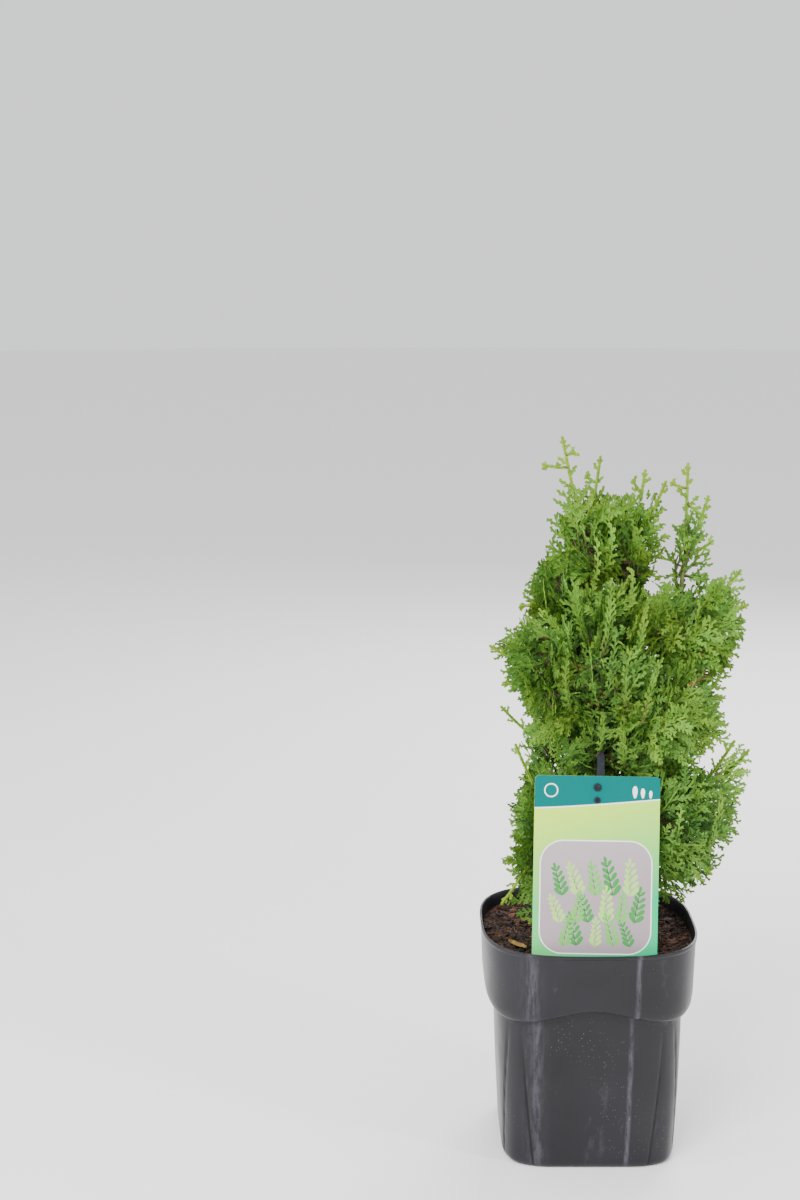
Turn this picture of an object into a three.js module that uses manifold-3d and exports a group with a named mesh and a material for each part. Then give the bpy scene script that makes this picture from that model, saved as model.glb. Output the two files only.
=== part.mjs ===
// Potted thuja: a young garden conifer with two leaders in a dark plastic nursery pot, with a plain
// plant label on a stick. Millimetres, +Z up, origin at the centre of the pot's flat underside.
// The front of the plant, where the label stands, faces -Y.

import * as THREE from 'three';
import { mergeVertices } from 'three/addons/utils/BufferGeometryUtils.js';
import Module from 'manifold-3d';

const wasm = await Module();
wasm.setup();

// Clearance that separate pieces keep where they touch
const GAP = 0.3;

// Nursery pot: a square with bulged sides, a deep collar and a foot with fluted corners
const POT_HEIGHT = 150.5;
const POT_HALF_WIDTH = 71;
const POT_COLLAR_HALF_WIDTH = 69.2;
const POT_BODY_HALF_WIDTH = 62.2;
const POT_FOOT_HALF_WIDTH = 57;
const POT_SQUARENESS = 3.1;
const FOOT_SQUARENESS = 6;
const POT_WALL = 1.6;
const POT_FLOOR = 2.2;
const COLLAR_EDGE = 101;
const COLLAR_WAVE = 10;
const COLLAR_ROUNDING = 7;
const FLUTE_DEPTH = 1.4;
const FLUTE_HALF_ANGLE = 0.2;
const FLUTE_SHARPNESS = 4;
const POT_SIDES = 40;
const DRAIN_RADIUS = 3.5;
const DRAIN_CIRCLE = 36;
const DRAIN_COUNT = 6;

// Potting soil
const SOIL_TOP = 141.5;
const SOIL_DIP = 1.6;
const SOIL_SETTLING = 0.9;
const SOIL_EDGE = 64;

// Plant label: a card that leans back against its stick, held by two snap pins
const CARD_WIDTH = 80;
const CARD_LENGTH = 119;
const CARD_THICKNESS = 0.8;
const CARD_CORNER = 2.7;
const CARD_LEAN = THREE.MathUtils.degToRad(10);
const CARD_TURN = THREE.MathUtils.degToRad(-1);
const CARD_FOOT = [-0.5, -59, SOIL_TOP + 1.2];
const PIN_DROPS = [7.2, 15.4];
const PIN_RADII = [1.9, 1.5];
const PIN_HEAD_RATIO = 1.35;
const PIN_HEAD_HEIGHT = 1;
const STICK_WIDTH = 8;
const STICK_TIP_WIDTH = 4.6;
const STICK_THICKNESS = 3;
const STICK_ABOVE_CARD = 15;
const STICK_BELOW_SOIL = 20;
const STICK_OFFSET = 2;
const STICK_POINT = 12;
const STICK_SHOULDERS = [-10, 4];

// Growth rule, shared by all masses of foliage
const SEED = 41;
const GOLDEN = 2.39996;
const LEVEL_STEP = 0.75488;
const CELL_MARGIN = 0.5;
const HEIGHT_WEIGHT = 0.72;
const FROND_TRIES = 22;
const FRONDS_PER_MASS = 8;
const STEM_CLEARANCE = 0.35;
const STEM_START = 6;
const STEM_RADII = [1.5, 0.9];
const TWIG_RADII = [1.1, 0.7];
const SPRAY_THICKNESS = 1.3;
const STEEP = 0.85;
const LOBE_LEAN = 0.12;
const FROND = { bare: 0.2, lobes: 3, spread: 0.5, twist: 0.5 };
const SHOOT = { bare: 0.4, lobes: 4, spread: 0.2, twist: 0.3 };
const FROND_BOW = 0.1;
const FROND_SHARES = [1, 0.92, 0.84, 0.76];
const ROOT_FREE = 4;
const TWIG_SINK = 0.12;
const SMOOTHING = 0.1;
const CORE_SHARE = 0.6;
const CORE_ROUGHNESS = 0.2;
const LIMB_MARGIN = 1.1;
const LEAST_LIMB_ROOM = 2.4;
const LABEL_MARGIN = 2.5;
const GROUND_MARGIN = 3;

// Limbs: how their tubes are divided, how fast they taper and how fast the root flare fades
const LIMB_SIDES = 5;
const LIMB_STEP = 18;
const LIMB_TAPER = 0.85;
const FLARE_FADE = 38;

// Each limb is a tapering tube along a smooth curve: points from foot to tip, and the two radii
const LIMBS = {
  trunk: {
    points: [[6, 5, SOIL_TOP - 4], [4, 5, 200], [-1, 4, 270], [-3, 3, 340], [-7, 2, 390]],
    radii: [5.4, 1.5],
    flare: 3.2,
  },
  leader_right: {
    points: [[6, 4, 186], [26, 1, 240], [45, -1, 292], [54, -1, 336], [57, 0, 372]],
    radii: [3.4, 1.3],
  },
  bough_top_middle: { points: [[-2, 4, 318], [8, 6, 345], [20, 8, 374]], radii: [1.9, 1.2] },
  bough_upper_left: { points: [[-2, 4, 296], [-11, 6, 322], [-21, 7, 348]], radii: [1.9, 1.2] },
  bough_left_upper: { points: [[0, 4, 248], [-14, -3, 274], [-27, -10, 300]], radii: [2.3, 1.3] },
  bough_front: { points: [[0, 4, 240], [2, -12, 276], [4, -28, 314]], radii: [2.2, 1.3] },
  bough_back_upper: { points: [[-1, 4, 272], [3, 18, 300], [6, 32, 330]], radii: [2.2, 1.3] },
  bough_right_upper: { points: [[54, -1, 318], [61, -2, 332], [68, -3, 345]], radii: [1.9, 1.2] },
  bough_right_middle: { points: [[30, 0, 244], [38, -9, 262], [46, -17, 281]], radii: [2.1, 1.3] },
  bough_right_lower: { points: [[5, 5, 166], [24, 0, 184], [46, -4, 204]], radii: [2.6, 1.4] },
  bough_middle: { points: [[3, 5, 218], [8, -4, 234], [12, -12, 250]], radii: [2, 1.3] },
  bough_left_lower: { points: [[5, 5, 172], [-8, -2, 186], [-22, -9, 204]], radii: [2.4, 1.4] },
  bough_front_lower: { points: [[5, 5, 158], [6, -6, 168], [7, -16, 182]], radii: [2, 1.3] },
  bough_back_left: { points: [[4, 5, 196], [-8, 17, 216], [-20, 30, 238]], radii: [2.4, 1.4] },
  bough_back_right: { points: [[5, 5, 180], [18, 18, 200], [32, 32, 226]], radii: [2.4, 1.4] },
};

// Masses of foliage: the limb that carries each, its middle, how far it reaches from there along
// X, Y and Z, and the tips of the long shoots that stand out of it
const MASSES = {
  foliage_top_left: {
    limb: 'trunk', centre: [-4, -3, 405], reach: [25, 28, 33],
    shoots: [[-21, 0, 472], [3, -4, 460]],
  },
  foliage_top_middle: {
    limb: 'bough_top_middle', centre: [26, 6, 402], reach: [24, 28, 38],
    shoots: [[33, 6, 450], [46, 4, 443]],
  },
  foliage_top_right: {
    limb: 'leader_right', centre: [60, 1, 402], reach: [17, 22, 34],
    shoots: [[59.5, 0, 455], [73, 0, 434], [76, -4, 406]],
  },
  foliage_upper_left: {
    limb: 'bough_upper_left', centre: [-20, 8, 368], reach: [26, 34, 34],
    shoots: [[-46, 6, 362]],
  },
  foliage_left_upper: {
    limb: 'bough_left_upper', centre: [-28, -10, 322], reach: [36, 44, 40],
    shoots: [[-66, -8, 338], [-58, -14, 314]],
  },
  foliage_front: {
    limb: 'bough_front', centre: [4, -30, 335], reach: [34, 32, 64],
    shoots: [],
  },
  foliage_back_upper: {
    limb: 'bough_back_upper', centre: [6, 34, 362], reach: [40, 34, 56],
    shoots: [[12, 40, 428]],
  },
  foliage_right_upper: {
    limb: 'bough_right_upper', centre: [66, -4, 350], reach: [33, 40, 38],
    shoots: [[94, -6, 387], [100, -2, 364], [93, 6, 334]],
  },
  foliage_right_middle: {
    limb: 'bough_right_middle', centre: [46, -18, 300], reach: [38, 40, 40],
    shoots: [[84, -12, 305]],
  },
  foliage_right_lower: {
    limb: 'bough_right_lower', centre: [56, -4, 218], reach: [44, 42, 48],
    shoots: [[103, -6, 268], [92, -14, 276], [101, 4, 238], [80, -12, 186]],
  },
  foliage_left_lower: {
    limb: 'bough_left_lower', centre: [-24, -8, 212], reach: [30, 40, 60],
    shoots: [[-49, -8, 272], [-57, -10, 165]],
  },
  foliage_front_lower: {
    limb: 'bough_front_lower', centre: [8, -16, 212], reach: [36, 30, 60],
    shoots: [],
  },
  foliage_middle: {
    limb: 'bough_middle', centre: [12, -16, 278], reach: [34, 32, 36],
    shoots: [],
  },
  foliage_back_left: {
    limb: 'bough_back_left', centre: [-20, 34, 240], reach: [34, 38, 74],
    shoots: [[-56, 40, 286]],
  },
  foliage_back_right: {
    limb: 'bough_back_right', centre: [34, 36, 240], reach: [42, 38, 74],
    shoots: [[72, 52, 296]],
  },
};

const UP = new THREE.Vector3(0, 0, 1);
const SIDEWAYS = new THREE.Vector3(1, 0, 0);

const material = (color, roughness) => new THREE.MeshStandardMaterial({ color, roughness, metalness: 0 });
const POT_PLASTIC = material(0x4a494e, 0.45);
const SOIL = material(0x4d3324, 0.95);
const BARK = material(0x6b4a2e, 0.85);
const FOLIAGE = material(0x5f9632, 0.7);
const CARD_PRINT = material(0xb9dc8c, 0.4);

// A small seeded random number generator
class Dice {
  constructor(seed) {
    this.state = seed;
  }

  roll() {
    this.state = (Math.imul(this.state, 1664525) + 1013904223) >>> 0;
    return this.state / 4294967296;
  }

  between(low, high) {
    return low + (high - low) * this.roll();
  }
}

const vector = (list) => new THREE.Vector3(...list);

// A closed geometry as a solid, with shared corners merged and slivers of no area dropped
function solid(geometry) {
  const shape = geometry.clone();
  shape.deleteAttribute('normal');
  shape.deleteAttribute('uv');
  const merged = mergeVertices(shape, 1e-3);
  const index = merged.index.array;
  const kept = [];
  for (let i = 0; i < index.length; i += 3) {
    const [a, b, c] = [index[i], index[i + 1], index[i + 2]];
    if (a !== b && b !== c && c !== a) kept.push(a, b, c);
  }
  return new wasm.Manifold(new wasm.Mesh({
    numProp: 3,
    vertProperties: Float32Array.from(merged.attributes.position.array),
    triVerts: Uint32Array.from(kept),
  }));
}

function geometryOf(body) {
  const mesh = body.getMesh();
  const geometry = new THREE.BufferGeometry();
  geometry.setAttribute('position', new THREE.BufferAttribute(mesh.vertProperties, 3));
  geometry.setIndex(new THREE.BufferAttribute(mesh.triVerts, 1));
  geometry.computeVertexNormals();
  return geometry;
}

function piece(name, body, surface) {
  const mesh = new THREE.Mesh(geometryOf(body), surface);
  mesh.name = name;
  return mesh;
}

// The largest body of a solid, without the loose scraps that a cut can leave
function largest(body) {
  const parts = body.decompose();
  return parts.reduce((best, part) => (part.volume() > best.volume() ? part : best));
}

// Pot

// How far the pot's plan stands out at an angle, against a circle of its half width: squarer at the foot
function planFactor(angle, height) {
  const up = THREE.MathUtils.clamp(height / COLLAR_EDGE, 0, 1);
  const squareness = THREE.MathUtils.lerp(FOOT_SQUARENESS, POT_SQUARENESS, up);
  const across = Math.abs(Math.cos(angle)) ** squareness;
  const along = Math.abs(Math.sin(angle)) ** squareness;
  return (across + along) ** (-1 / squareness);
}

// 1 at the middle of each side, 0 at the corners
const sideShare = (angle) => Math.cos(2 * angle) ** 2;

// The flute that sets each corner of the foot back, fading out below the collar
function fluteDepth(angle, height) {
  const fromCorner = Math.abs((Math.abs(angle) % (Math.PI / 2)) - Math.PI / 4);
  const shape = Math.exp(-((fromCorner / FLUTE_HALF_ANGLE) ** FLUTE_SHARPNESS));
  const fade = THREE.MathUtils.clamp(1 - height / (COLLAR_EDGE - 8), 0, 1);
  return FLUTE_DEPTH * shape * fade;
}

// The collar's lower edge rises at the middle of each side
function waveLift(angle, height) {
  const low = THREE.MathUtils.clamp(height / COLLAR_EDGE, 0, 1) ** 2;
  const high = THREE.MathUtils.clamp((POT_HEIGHT - height) / (POT_HEIGHT - COLLAR_EDGE - 12), 0, 1);
  return COLLAR_WAVE * sideShare(angle) * Math.min(low, high);
}

// Turns a profile of [half width, height] pairs round the pot's rounded square plan
function potTurning(profile) {
  const points = profile.map(([halfWidth, height]) => new THREE.Vector2(halfWidth, height));
  const geometry = new THREE.LatheGeometry(points, POT_SIDES);
  geometry.rotateX(Math.PI / 2);
  const position = geometry.attributes.position;
  for (let i = 0; i < position.count; i++) {
    const [x, y, z] = [position.getX(i), position.getY(i), position.getZ(i)];
    const halfWidth = Math.hypot(x, y);
    if (halfWidth < 1e-6) continue;
    const angle = Math.atan2(y, x);
    const share = Math.min(1, (halfWidth / POT_FOOT_HALF_WIDTH) ** 3);
    const radius = halfWidth * planFactor(angle, z) - fluteDepth(angle, z) * share;
    const lift = halfWidth < SOIL_EDGE && z > COLLAR_EDGE + 2 ? 0 : waveLift(angle, z);
    position.setXYZ(i, radius * Math.cos(angle), radius * Math.sin(angle), z + lift);
  }
  return solid(geometry);
}

// Inner face of the wall from the floor to the height given, inset by a clearance
function innerProfile(top, inset) {
  const wall = POT_WALL + inset;
  const collarFoot = COLLAR_EDGE + COLLAR_ROUNDING + POT_WALL;
  const upCollar = (top - collarFoot) / (POT_HEIGHT - collarFoot);
  return [
    [POT_FOOT_HALF_WIDTH - wall - 2, POT_FLOOR + Math.min(inset, GAP)],
    [POT_FOOT_HALF_WIDTH - wall, POT_FLOOR + 3],
    [(POT_FOOT_HALF_WIDTH + POT_BODY_HALF_WIDTH) / 2 - wall, COLLAR_EDGE / 2],
    [POT_BODY_HALF_WIDTH - wall, COLLAR_EDGE],
    [POT_COLLAR_HALF_WIDTH - wall, collarFoot],
    [THREE.MathUtils.lerp(POT_COLLAR_HALF_WIDTH, POT_HALF_WIDTH, upCollar) - wall, top],
  ];
}

function drainHole(angle) {
  const drill = new THREE.CylinderGeometry(DRAIN_RADIUS, DRAIN_RADIUS, 4 * POT_FLOOR, 8);
  drill.rotateX(Math.PI / 2);
  drill.translate(DRAIN_CIRCLE * Math.cos(angle), DRAIN_CIRCLE * Math.sin(angle), POT_FLOOR);
  return solid(drill);
}

function pot() {
  const outer = [
    [0, 0],
    [POT_FOOT_HALF_WIDTH - 3.5, 0],
    [POT_FOOT_HALF_WIDTH - 1, 1.4],
    [POT_FOOT_HALF_WIDTH, 5],
    [POT_FOOT_HALF_WIDTH + 2.4, 45],
    [POT_BODY_HALF_WIDTH, COLLAR_EDGE],
    [POT_COLLAR_HALF_WIDTH - 1.6, COLLAR_EDGE + 1.2],
    [POT_COLLAR_HALF_WIDTH, COLLAR_EDGE + COLLAR_ROUNDING],
    [POT_HALF_WIDTH, POT_HEIGHT - 1],
    [POT_HALF_WIDTH - 0.5, POT_HEIGHT],
  ];
  const inner = innerProfile(POT_HEIGHT, 0).reverse();
  let body = potTurning([...outer, ...inner, [0, POT_FLOOR]]);
  for (let i = 0; i < DRAIN_COUNT; i++) {
    body = body.subtract(drainHole((i * 2 * Math.PI) / DRAIN_COUNT));
  }
  return body;
}

function soil() {
  const top = [
    [56, SOIL_TOP - 0.4],
    [38, SOIL_TOP - SOIL_DIP],
    [0, SOIL_TOP],
  ];
  return potTurning([[0, POT_FLOOR + GAP], ...innerProfile(SOIL_TOP, SOIL_SETTLING), ...top]);
}

// Label

// The frame of the card: its foot in the soil, X across it, Y up its slope, Z out of its face
function labelFrame() {
  const frame = new THREE.Matrix4().makeTranslation(...CARD_FOOT);
  frame.multiply(new THREE.Matrix4().makeRotationX(Math.PI / 2 - CARD_LEAN));
  frame.multiply(new THREE.Matrix4().makeRotationZ(CARD_TURN));
  return frame;
}

function roundedCard() {
  const [half, top, corner] = [CARD_WIDTH / 2, CARD_LENGTH, CARD_CORNER];
  const card = new THREE.Shape();
  card.moveTo(-half, 0);
  card.lineTo(half, 0);
  card.lineTo(half, top - corner);
  card.absarc(half - corner, top - corner, corner, 0, Math.PI / 2);
  card.lineTo(-half + corner, top);
  card.absarc(-half + corner, top - corner, corner, Math.PI / 2, Math.PI);
  card.closePath();
  PIN_DROPS.forEach((drop, i) => {
    const hole = new THREE.Path();
    hole.absarc(0, top - drop, PIN_RADII[i] + GAP, 0, 2 * Math.PI, true);
    card.holes.push(hole);
  });
  return card;
}

function labelCard() {
  const plate = new THREE.ExtrudeGeometry(roundedCard(), {
    depth: CARD_THICKNESS, bevelEnabled: false, curveSegments: 4,
  });
  return solid(plate.applyMatrix4(labelFrame()));
}

// A flat bar behind the card that narrows to a round tip above it and runs down into the soil
function stickBar(inflate) {
  const tip = STICK_TIP_WIDTH / 2 + inflate;
  const half = STICK_WIDTH / 2 + inflate;
  const foot = -STICK_BELOW_SOIL - inflate;
  const top = CARD_LENGTH + STICK_ABOVE_CARD + inflate;
  const [lowShoulder, highShoulder] = STICK_SHOULDERS.map((offset) => CARD_LENGTH + offset);
  const bar = new THREE.Shape();
  bar.moveTo(-tip / 2, foot);
  bar.lineTo(tip / 2, foot);
  bar.lineTo(half, foot + STICK_POINT);
  bar.lineTo(half, lowShoulder);
  bar.lineTo(tip, highShoulder);
  bar.lineTo(tip, top - tip);
  bar.absarc(0, top - tip, tip, 0, Math.PI);
  bar.lineTo(-tip, highShoulder);
  bar.lineTo(-half, lowShoulder);
  bar.lineTo(-half, foot + STICK_POINT);
  bar.closePath();
  const geometry = new THREE.ExtrudeGeometry(bar, {
    depth: STICK_THICKNESS + 2 * inflate, bevelEnabled: false, curveSegments: 5,
  });
  geometry.translate(STICK_OFFSET, 0, -GAP - STICK_THICKNESS - inflate);
  return solid(geometry.applyMatrix4(labelFrame()));
}

// A pin through the card, with a head in front that keeps the card on
function snapPin(drop, radius) {
  const foot = -STICK_THICKNESS / 2;
  const seat = CARD_THICKNESS + GAP;
  const head = radius * PIN_HEAD_RATIO;
  const profile = [
    [0, foot],
    [radius, foot],
    [radius, seat],
    [head, seat],
    [head, seat + PIN_HEAD_HEIGHT * 0.6],
    [radius * 0.7, seat + PIN_HEAD_HEIGHT],
    [0, seat + PIN_HEAD_HEIGHT],
  ];
  const pin = new THREE.LatheGeometry(profile.map(([r, h]) => new THREE.Vector2(r, h)), 8);
  pin.rotateX(Math.PI / 2);
  pin.translate(0, CARD_LENGTH - drop, 0);
  return solid(pin.applyMatrix4(labelFrame()));
}

function labelStick() {
  return PIN_DROPS.reduce((body, drop, i) => body.add(snapPin(drop, PIN_RADII[i])), stickBar(0));
}

// The room in front of the stick that a strip of the label takes, with the clearance foliage keeps
function labelRoom(middle, halfWidth, top) {
  const strip = new THREE.Shape([
    new THREE.Vector2(middle - halfWidth, -STICK_BELOW_SOIL),
    new THREE.Vector2(middle + halfWidth, -STICK_BELOW_SOIL),
    new THREE.Vector2(middle + halfWidth, top),
    new THREE.Vector2(middle - halfWidth, top),
  ]);
  const room = new THREE.ExtrudeGeometry(strip, { depth: POT_HALF_WIDTH, bevelEnabled: false });
  room.translate(0, 0, -STICK_THICKNESS - LABEL_MARGIN);
  return solid(room.applyMatrix4(labelFrame()));
}

// Limbs

const limbCurve = (limb) => new THREE.CatmullRomCurve3(limb.points.map(vector), false, 'catmullrom', 0.5);

// Radius of a limb at a share of its length, with the root flare at the trunk's foot
function limbRadius(limb, share) {
  const taper = THREE.MathUtils.lerp(limb.radii[0], limb.radii[1], share ** LIMB_TAPER);
  const flare = (limb.flare ?? 0) * Math.exp(-share * FLARE_FADE);
  return taper + flare;
}

// A tube of that many sides along a curve, its radius given at each share of the length
function tube(curve, radiusAt, sides, steps) {
  const section = new THREE.Shape();
  for (let i = 0; i < sides; i++) {
    const angle = (i * 2 * Math.PI) / sides;
    if (i === 0) section.moveTo(Math.cos(angle), Math.sin(angle));
    else section.lineTo(Math.cos(angle), Math.sin(angle));
  }
  section.closePath();
  const geometry = new THREE.ExtrudeGeometry(section, { steps, extrudePath: curve, bevelEnabled: false });
  const centres = curve.getSpacedPoints(steps);
  const position = geometry.attributes.position;
  const corner = new THREE.Vector3();
  for (let i = 0; i < position.count; i++) {
    corner.fromBufferAttribute(position, i);
    let ring = 0;
    centres.forEach((centre, k) => {
      if (centre.distanceTo(corner) < centres[ring].distanceTo(corner)) ring = k;
    });
    corner.sub(centres[ring]).multiplyScalar(radiusAt(ring / steps)).add(centres[ring]);
    position.setXYZ(i, corner.x, corner.y, corner.z);
  }
  return solid(geometry);
}

function limbSolid(limb, inflate) {
  const curve = limbCurve(limb);
  const steps = Math.max(4, Math.round(curve.getLength() / LIMB_STEP));
  return tube(curve, (share) => limbRadius(limb, share) + inflate, LIMB_SIDES, steps);
}

// The trunk is cut flat at ground level
function trunkSolid(inflate) {
  return limbSolid(LIMBS.trunk, inflate).trimByPlane([0, 0, 1], SOIL_TOP + GAP);
}

// Foliage

// Which side of the wall between two masses a point lies on, as a distance into the first one's space
function insideBy(point, own, other) {
  const scale = (v) => new THREE.Vector3(v.x, v.y, v.z * HEIGHT_WEIGHT);
  const from = scale(vector(own.centre));
  const to = scale(vector(other.centre));
  const across = to.clone().sub(from);
  const middle = from.clone().add(to).multiplyScalar(0.5);
  const normal = new THREE.Vector3(across.x, across.y, across.z * HEIGHT_WEIGHT);
  return middle.sub(scale(point)).dot(across) / normal.length();
}

// Points along every limb, which sprays keep clear of
const limbSamples = Object.values(LIMBS).flatMap((limb) => {
  const curve = limbCurve(limb);
  const count = Math.ceil(curve.getLength() / 2);
  return curve.getSpacedPoints(count).map((point, i) => ({ point, radius: limbRadius(limb, i / count) }));
});

const labelInverse = labelFrame().invert();

// True where foliage may be: above soil and rim, behind the label and clear of every limb
function isFree(point) {
  const ground = Math.hypot(point.x, point.y) < POT_FOOT_HALF_WIDTH ? SOIL_TOP : POT_HEIGHT;
  if (point.z < ground + GROUND_MARGIN) return false;
  const onCard = point.clone().applyMatrix4(labelInverse);
  const beside = Math.abs(onCard.x) > CARD_WIDTH / 2 + LABEL_MARGIN;
  const above = onCard.y > CARD_LENGTH + LABEL_MARGIN;
  const onStick = Math.abs(onCard.x - STICK_OFFSET) < STICK_WIDTH / 2 + LABEL_MARGIN;
  const aboveStick = onCard.y > CARD_LENGTH + STICK_ABOVE_CARD + LABEL_MARGIN;
  const behind = onCard.z < -STICK_THICKNESS - LABEL_MARGIN;
  const clearOfCard = behind || beside || (above && (aboveStick || !onStick));
  if (!clearOfCard) return false;
  return limbSamples.every((sample) => {
    const least = Math.max(sample.radius + LIMB_MARGIN, LEAST_LIMB_ROOM);
    return sample.point.distanceToSquared(point) > least * least;
  });
}

function inOwnSpace(point, mass) {
  return Object.values(MASSES).every(
    (other) => other === mass || insideBy(point, mass, other) > CELL_MARGIN,
  );
}

const isAllowed = (point, mass) => inOwnSpace(point, mass) && isFree(point);

// Outline of one flat spray: forward-pointing lobes to both sides of its axis and one at its tip
function sprayOutline({ length, lobes, spread }) {
  const side = [[0, 0.025]];
  for (let k = 1; k <= lobes; k++) {
    const along = (k - 0.35) / (lobes + 0.4);
    const width = spread * Math.sin(Math.PI * (0.08 + 0.84 * along));
    side.push([along + LOBE_LEAN, width], [along + LOBE_LEAN * 0.8, width * 0.3]);
  }
  const mirrored = side.map(([along, width]) => [along, -width]).reverse();
  return [...side, [1, 0], ...mirrored].map(([along, width]) => [along * length, width * length]);
}

const sprayPoints = (spray) => sprayOutline(spray).map(
  ([x, y]) => new THREE.Vector3(x, y, 0).applyMatrix4(spray.frame),
);

function spraySolid(spray) {
  const outline = sprayOutline(spray);
  const shape = new THREE.Shape(outline.map(([x, y]) => new THREE.Vector2(x, y)));
  const blade = new THREE.ExtrudeGeometry(shape, { depth: SPRAY_THICKNESS, bevelEnabled: false });
  blade.translate(0, 0, -SPRAY_THICKNESS / 2);
  return solid(blade.applyMatrix4(spray.frame));
}

// A frond: a twig that bows up from the stem, and one flat spray in an upright plane at its end
function growFrond({ start, tip, twist, bare, lobes, spread }) {
  const run = tip.clone().sub(start);
  const knee = start.clone().addScaledVector(run, 0.5).addScaledVector(UP, -FROND_BOW * run.length());
  const curve = new THREE.QuadraticBezierCurve3(start, knee, tip);
  const root = curve.getPointAt(bare);
  const along = tip.clone().sub(root);
  const length = along.length();
  along.normalize();
  const reference = Math.abs(along.z) > STEEP ? SIDEWAYS : UP;
  const flat = new THREE.Vector3().crossVectors(along, reference).normalize().applyAxisAngle(along, twist);
  const across = new THREE.Vector3().crossVectors(flat, along);
  const frame = new THREE.Matrix4().makeBasis(along, across, flat).setPosition(root);
  return { curve, bare, spray: { frame, length, lobes, spread } };
}

// The stem of a mass: from just past its limb's tip to the middle of the mass and on to its crest
function massStem(mass) {
  const limb = limbCurve(LIMBS[mass.limb]);
  const heading = limb.getTangentAt(1);
  const foot = limb.getPointAt(1).addScaledVector(heading, STEM_CLEARANCE);
  const ahead = foot.clone().addScaledVector(heading, STEM_START);
  const crest = vector(mass.centre).addScaledVector(UP, mass.reach[2] / 2);
  const middle = vector(mass.centre).lerp(ahead, 0.3);
  middle.z = Math.max(middle.z, ahead.z + STEM_START / 2);
  return new THREE.CatmullRomCurve3([foot, ahead, middle, crest]);
}

// The nth frond of a mass, spread evenly over its outside by a rule that needs no total
function massFrond(mass, stem, n, dice) {
  const level = -0.8 + 1.7 * ((n * LEVEL_STEP + 0.35) % 1);
  const turn = n * GOLDEN + dice.between(-0.3, 0.3);
  const ring = Math.sqrt(1 - Math.min(0.98, level * level));
  const way = new THREE.Vector3(ring * Math.cos(turn), ring * Math.sin(turn), level);
  const tip = vector(mass.centre).add(way.multiply(vector(mass.reach)));
  const start = stem.getPointAt(THREE.MathUtils.clamp(0.4 + 0.3 * level, 0.25, 0.65));
  return { ...FROND, start, tip, twist: dice.between(-FROND.twist, FROND.twist) };
}

// A long shoot: a twig with a narrow spray that runs on to a tip standing out of the mass
function massShoot(stem, target, dice) {
  const start = stem.getPointAt(0.5);
  return { ...SHOOT, start, tip: vector(target), twist: dice.between(-SHOOT.twist, SHOOT.twist) };
}

// A rough ball of dense inner foliage, smaller than the mass that stands out of it
function massCore(mass, dice) {
  const ball = new THREE.IcosahedronGeometry(1, 1);
  ball.deleteAttribute('uv');
  ball.deleteAttribute('normal');
  const core = mergeVertices(ball, 1e-3);
  const position = core.attributes.position;
  const corner = new THREE.Vector3();
  for (let i = 0; i < position.count; i++) {
    corner.fromBufferAttribute(position, i);
    corner.multiplyScalar(1 + dice.between(-CORE_ROUGHNESS, CORE_ROUGHNESS));
    position.setXYZ(i, corner.x, corner.y, corner.z);
  }
  core.scale(...mass.reach.map((reach) => reach * CORE_SHARE));
  core.translate(...mass.centre);
  return solid(core);
}

// Cuts the core back to the space of its mass and clear of limbs and label
function trimCore(body, mass, obstacles) {
  let core = body;
  for (const other of Object.values(MASSES)) {
    if (other === mass) continue;
    const across = vector(other.centre).sub(vector(mass.centre));
    const normal = new THREE.Vector3(across.x, across.y, across.z * HEIGHT_WEIGHT ** 2).normalize();
    const depth = insideBy(new THREE.Vector3(), mass, other) - CELL_MARGIN;
    core = core.trimByPlane(normal.clone().negate().toArray(), -depth);
  }
  for (const obstacle of obstacles) core = core.subtract(obstacle);
  return largest(core);
}

// The longest frond towards a tip that keeps to its mass's space, or none
function fitFrond(plan, mass) {
  const pastRoot = (point) => point.distanceTo(plan.start) > ROOT_FREE;
  for (const share of FROND_SHARES) {
    const frond = growFrond({ ...plan, tip: plan.start.clone().lerp(plan.tip, share) });
    const points = [...frond.curve.getSpacedPoints(12).filter(pastRoot), ...sprayPoints(frond.spray)];
    if (points.every((point) => isAllowed(point, mass))) return frond;
  }
  return null;
}

// A limb or twig that narrows evenly from its first radius to its second
const tapering = (radii) => (share) => THREE.MathUtils.lerp(radii[0], radii[1], share);

// The bare twig of a frond, sunk into the stem and into its spray
function frondSolid({ curve, bare, spray }) {
  const twig = new THREE.QuadraticBezierCurve3(
    curve.getPointAt(0), curve.getPointAt(bare / 2), curve.getPointAt(bare + TWIG_SINK),
  );
  return tube(twig, tapering(TWIG_RADII), 3, 1).add(spraySolid(spray));
}

// A mass of foliage: its core, its stem and the fronds that fit
function growMass(mass, seed, obstacles) {
  const dice = new Dice(seed);
  const stem = massStem(mass);
  let body = trimCore(massCore(mass, new Dice(seed)), mass, obstacles);
  body = body.add(tube(stem, tapering(STEM_RADII), 4, 3));
  const plans = mass.shoots.map((target) => massShoot(stem, target, dice));
  for (let n = 0; n < FROND_TRIES; n++) plans.push(massFrond(mass, stem, n, dice));
  const fronds = plans.map((plan) => fitFrond(plan, mass)).filter(Boolean);
  for (const frond of fronds.slice(0, FRONDS_PER_MASS)) {
    body = body.add(frondSolid(frond));
  }
  return largest(body.simplify(SMOOTHING));
}

const plant = new THREE.Group();
plant.add(piece('pot', pot(), POT_PLASTIC));
plant.add(piece('soil', soil().subtract(stickBar(GAP)), SOIL));
plant.add(piece('label_card', labelCard(), CARD_PRINT));
plant.add(piece('label_stick', labelStick(), POT_PLASTIC));

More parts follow.
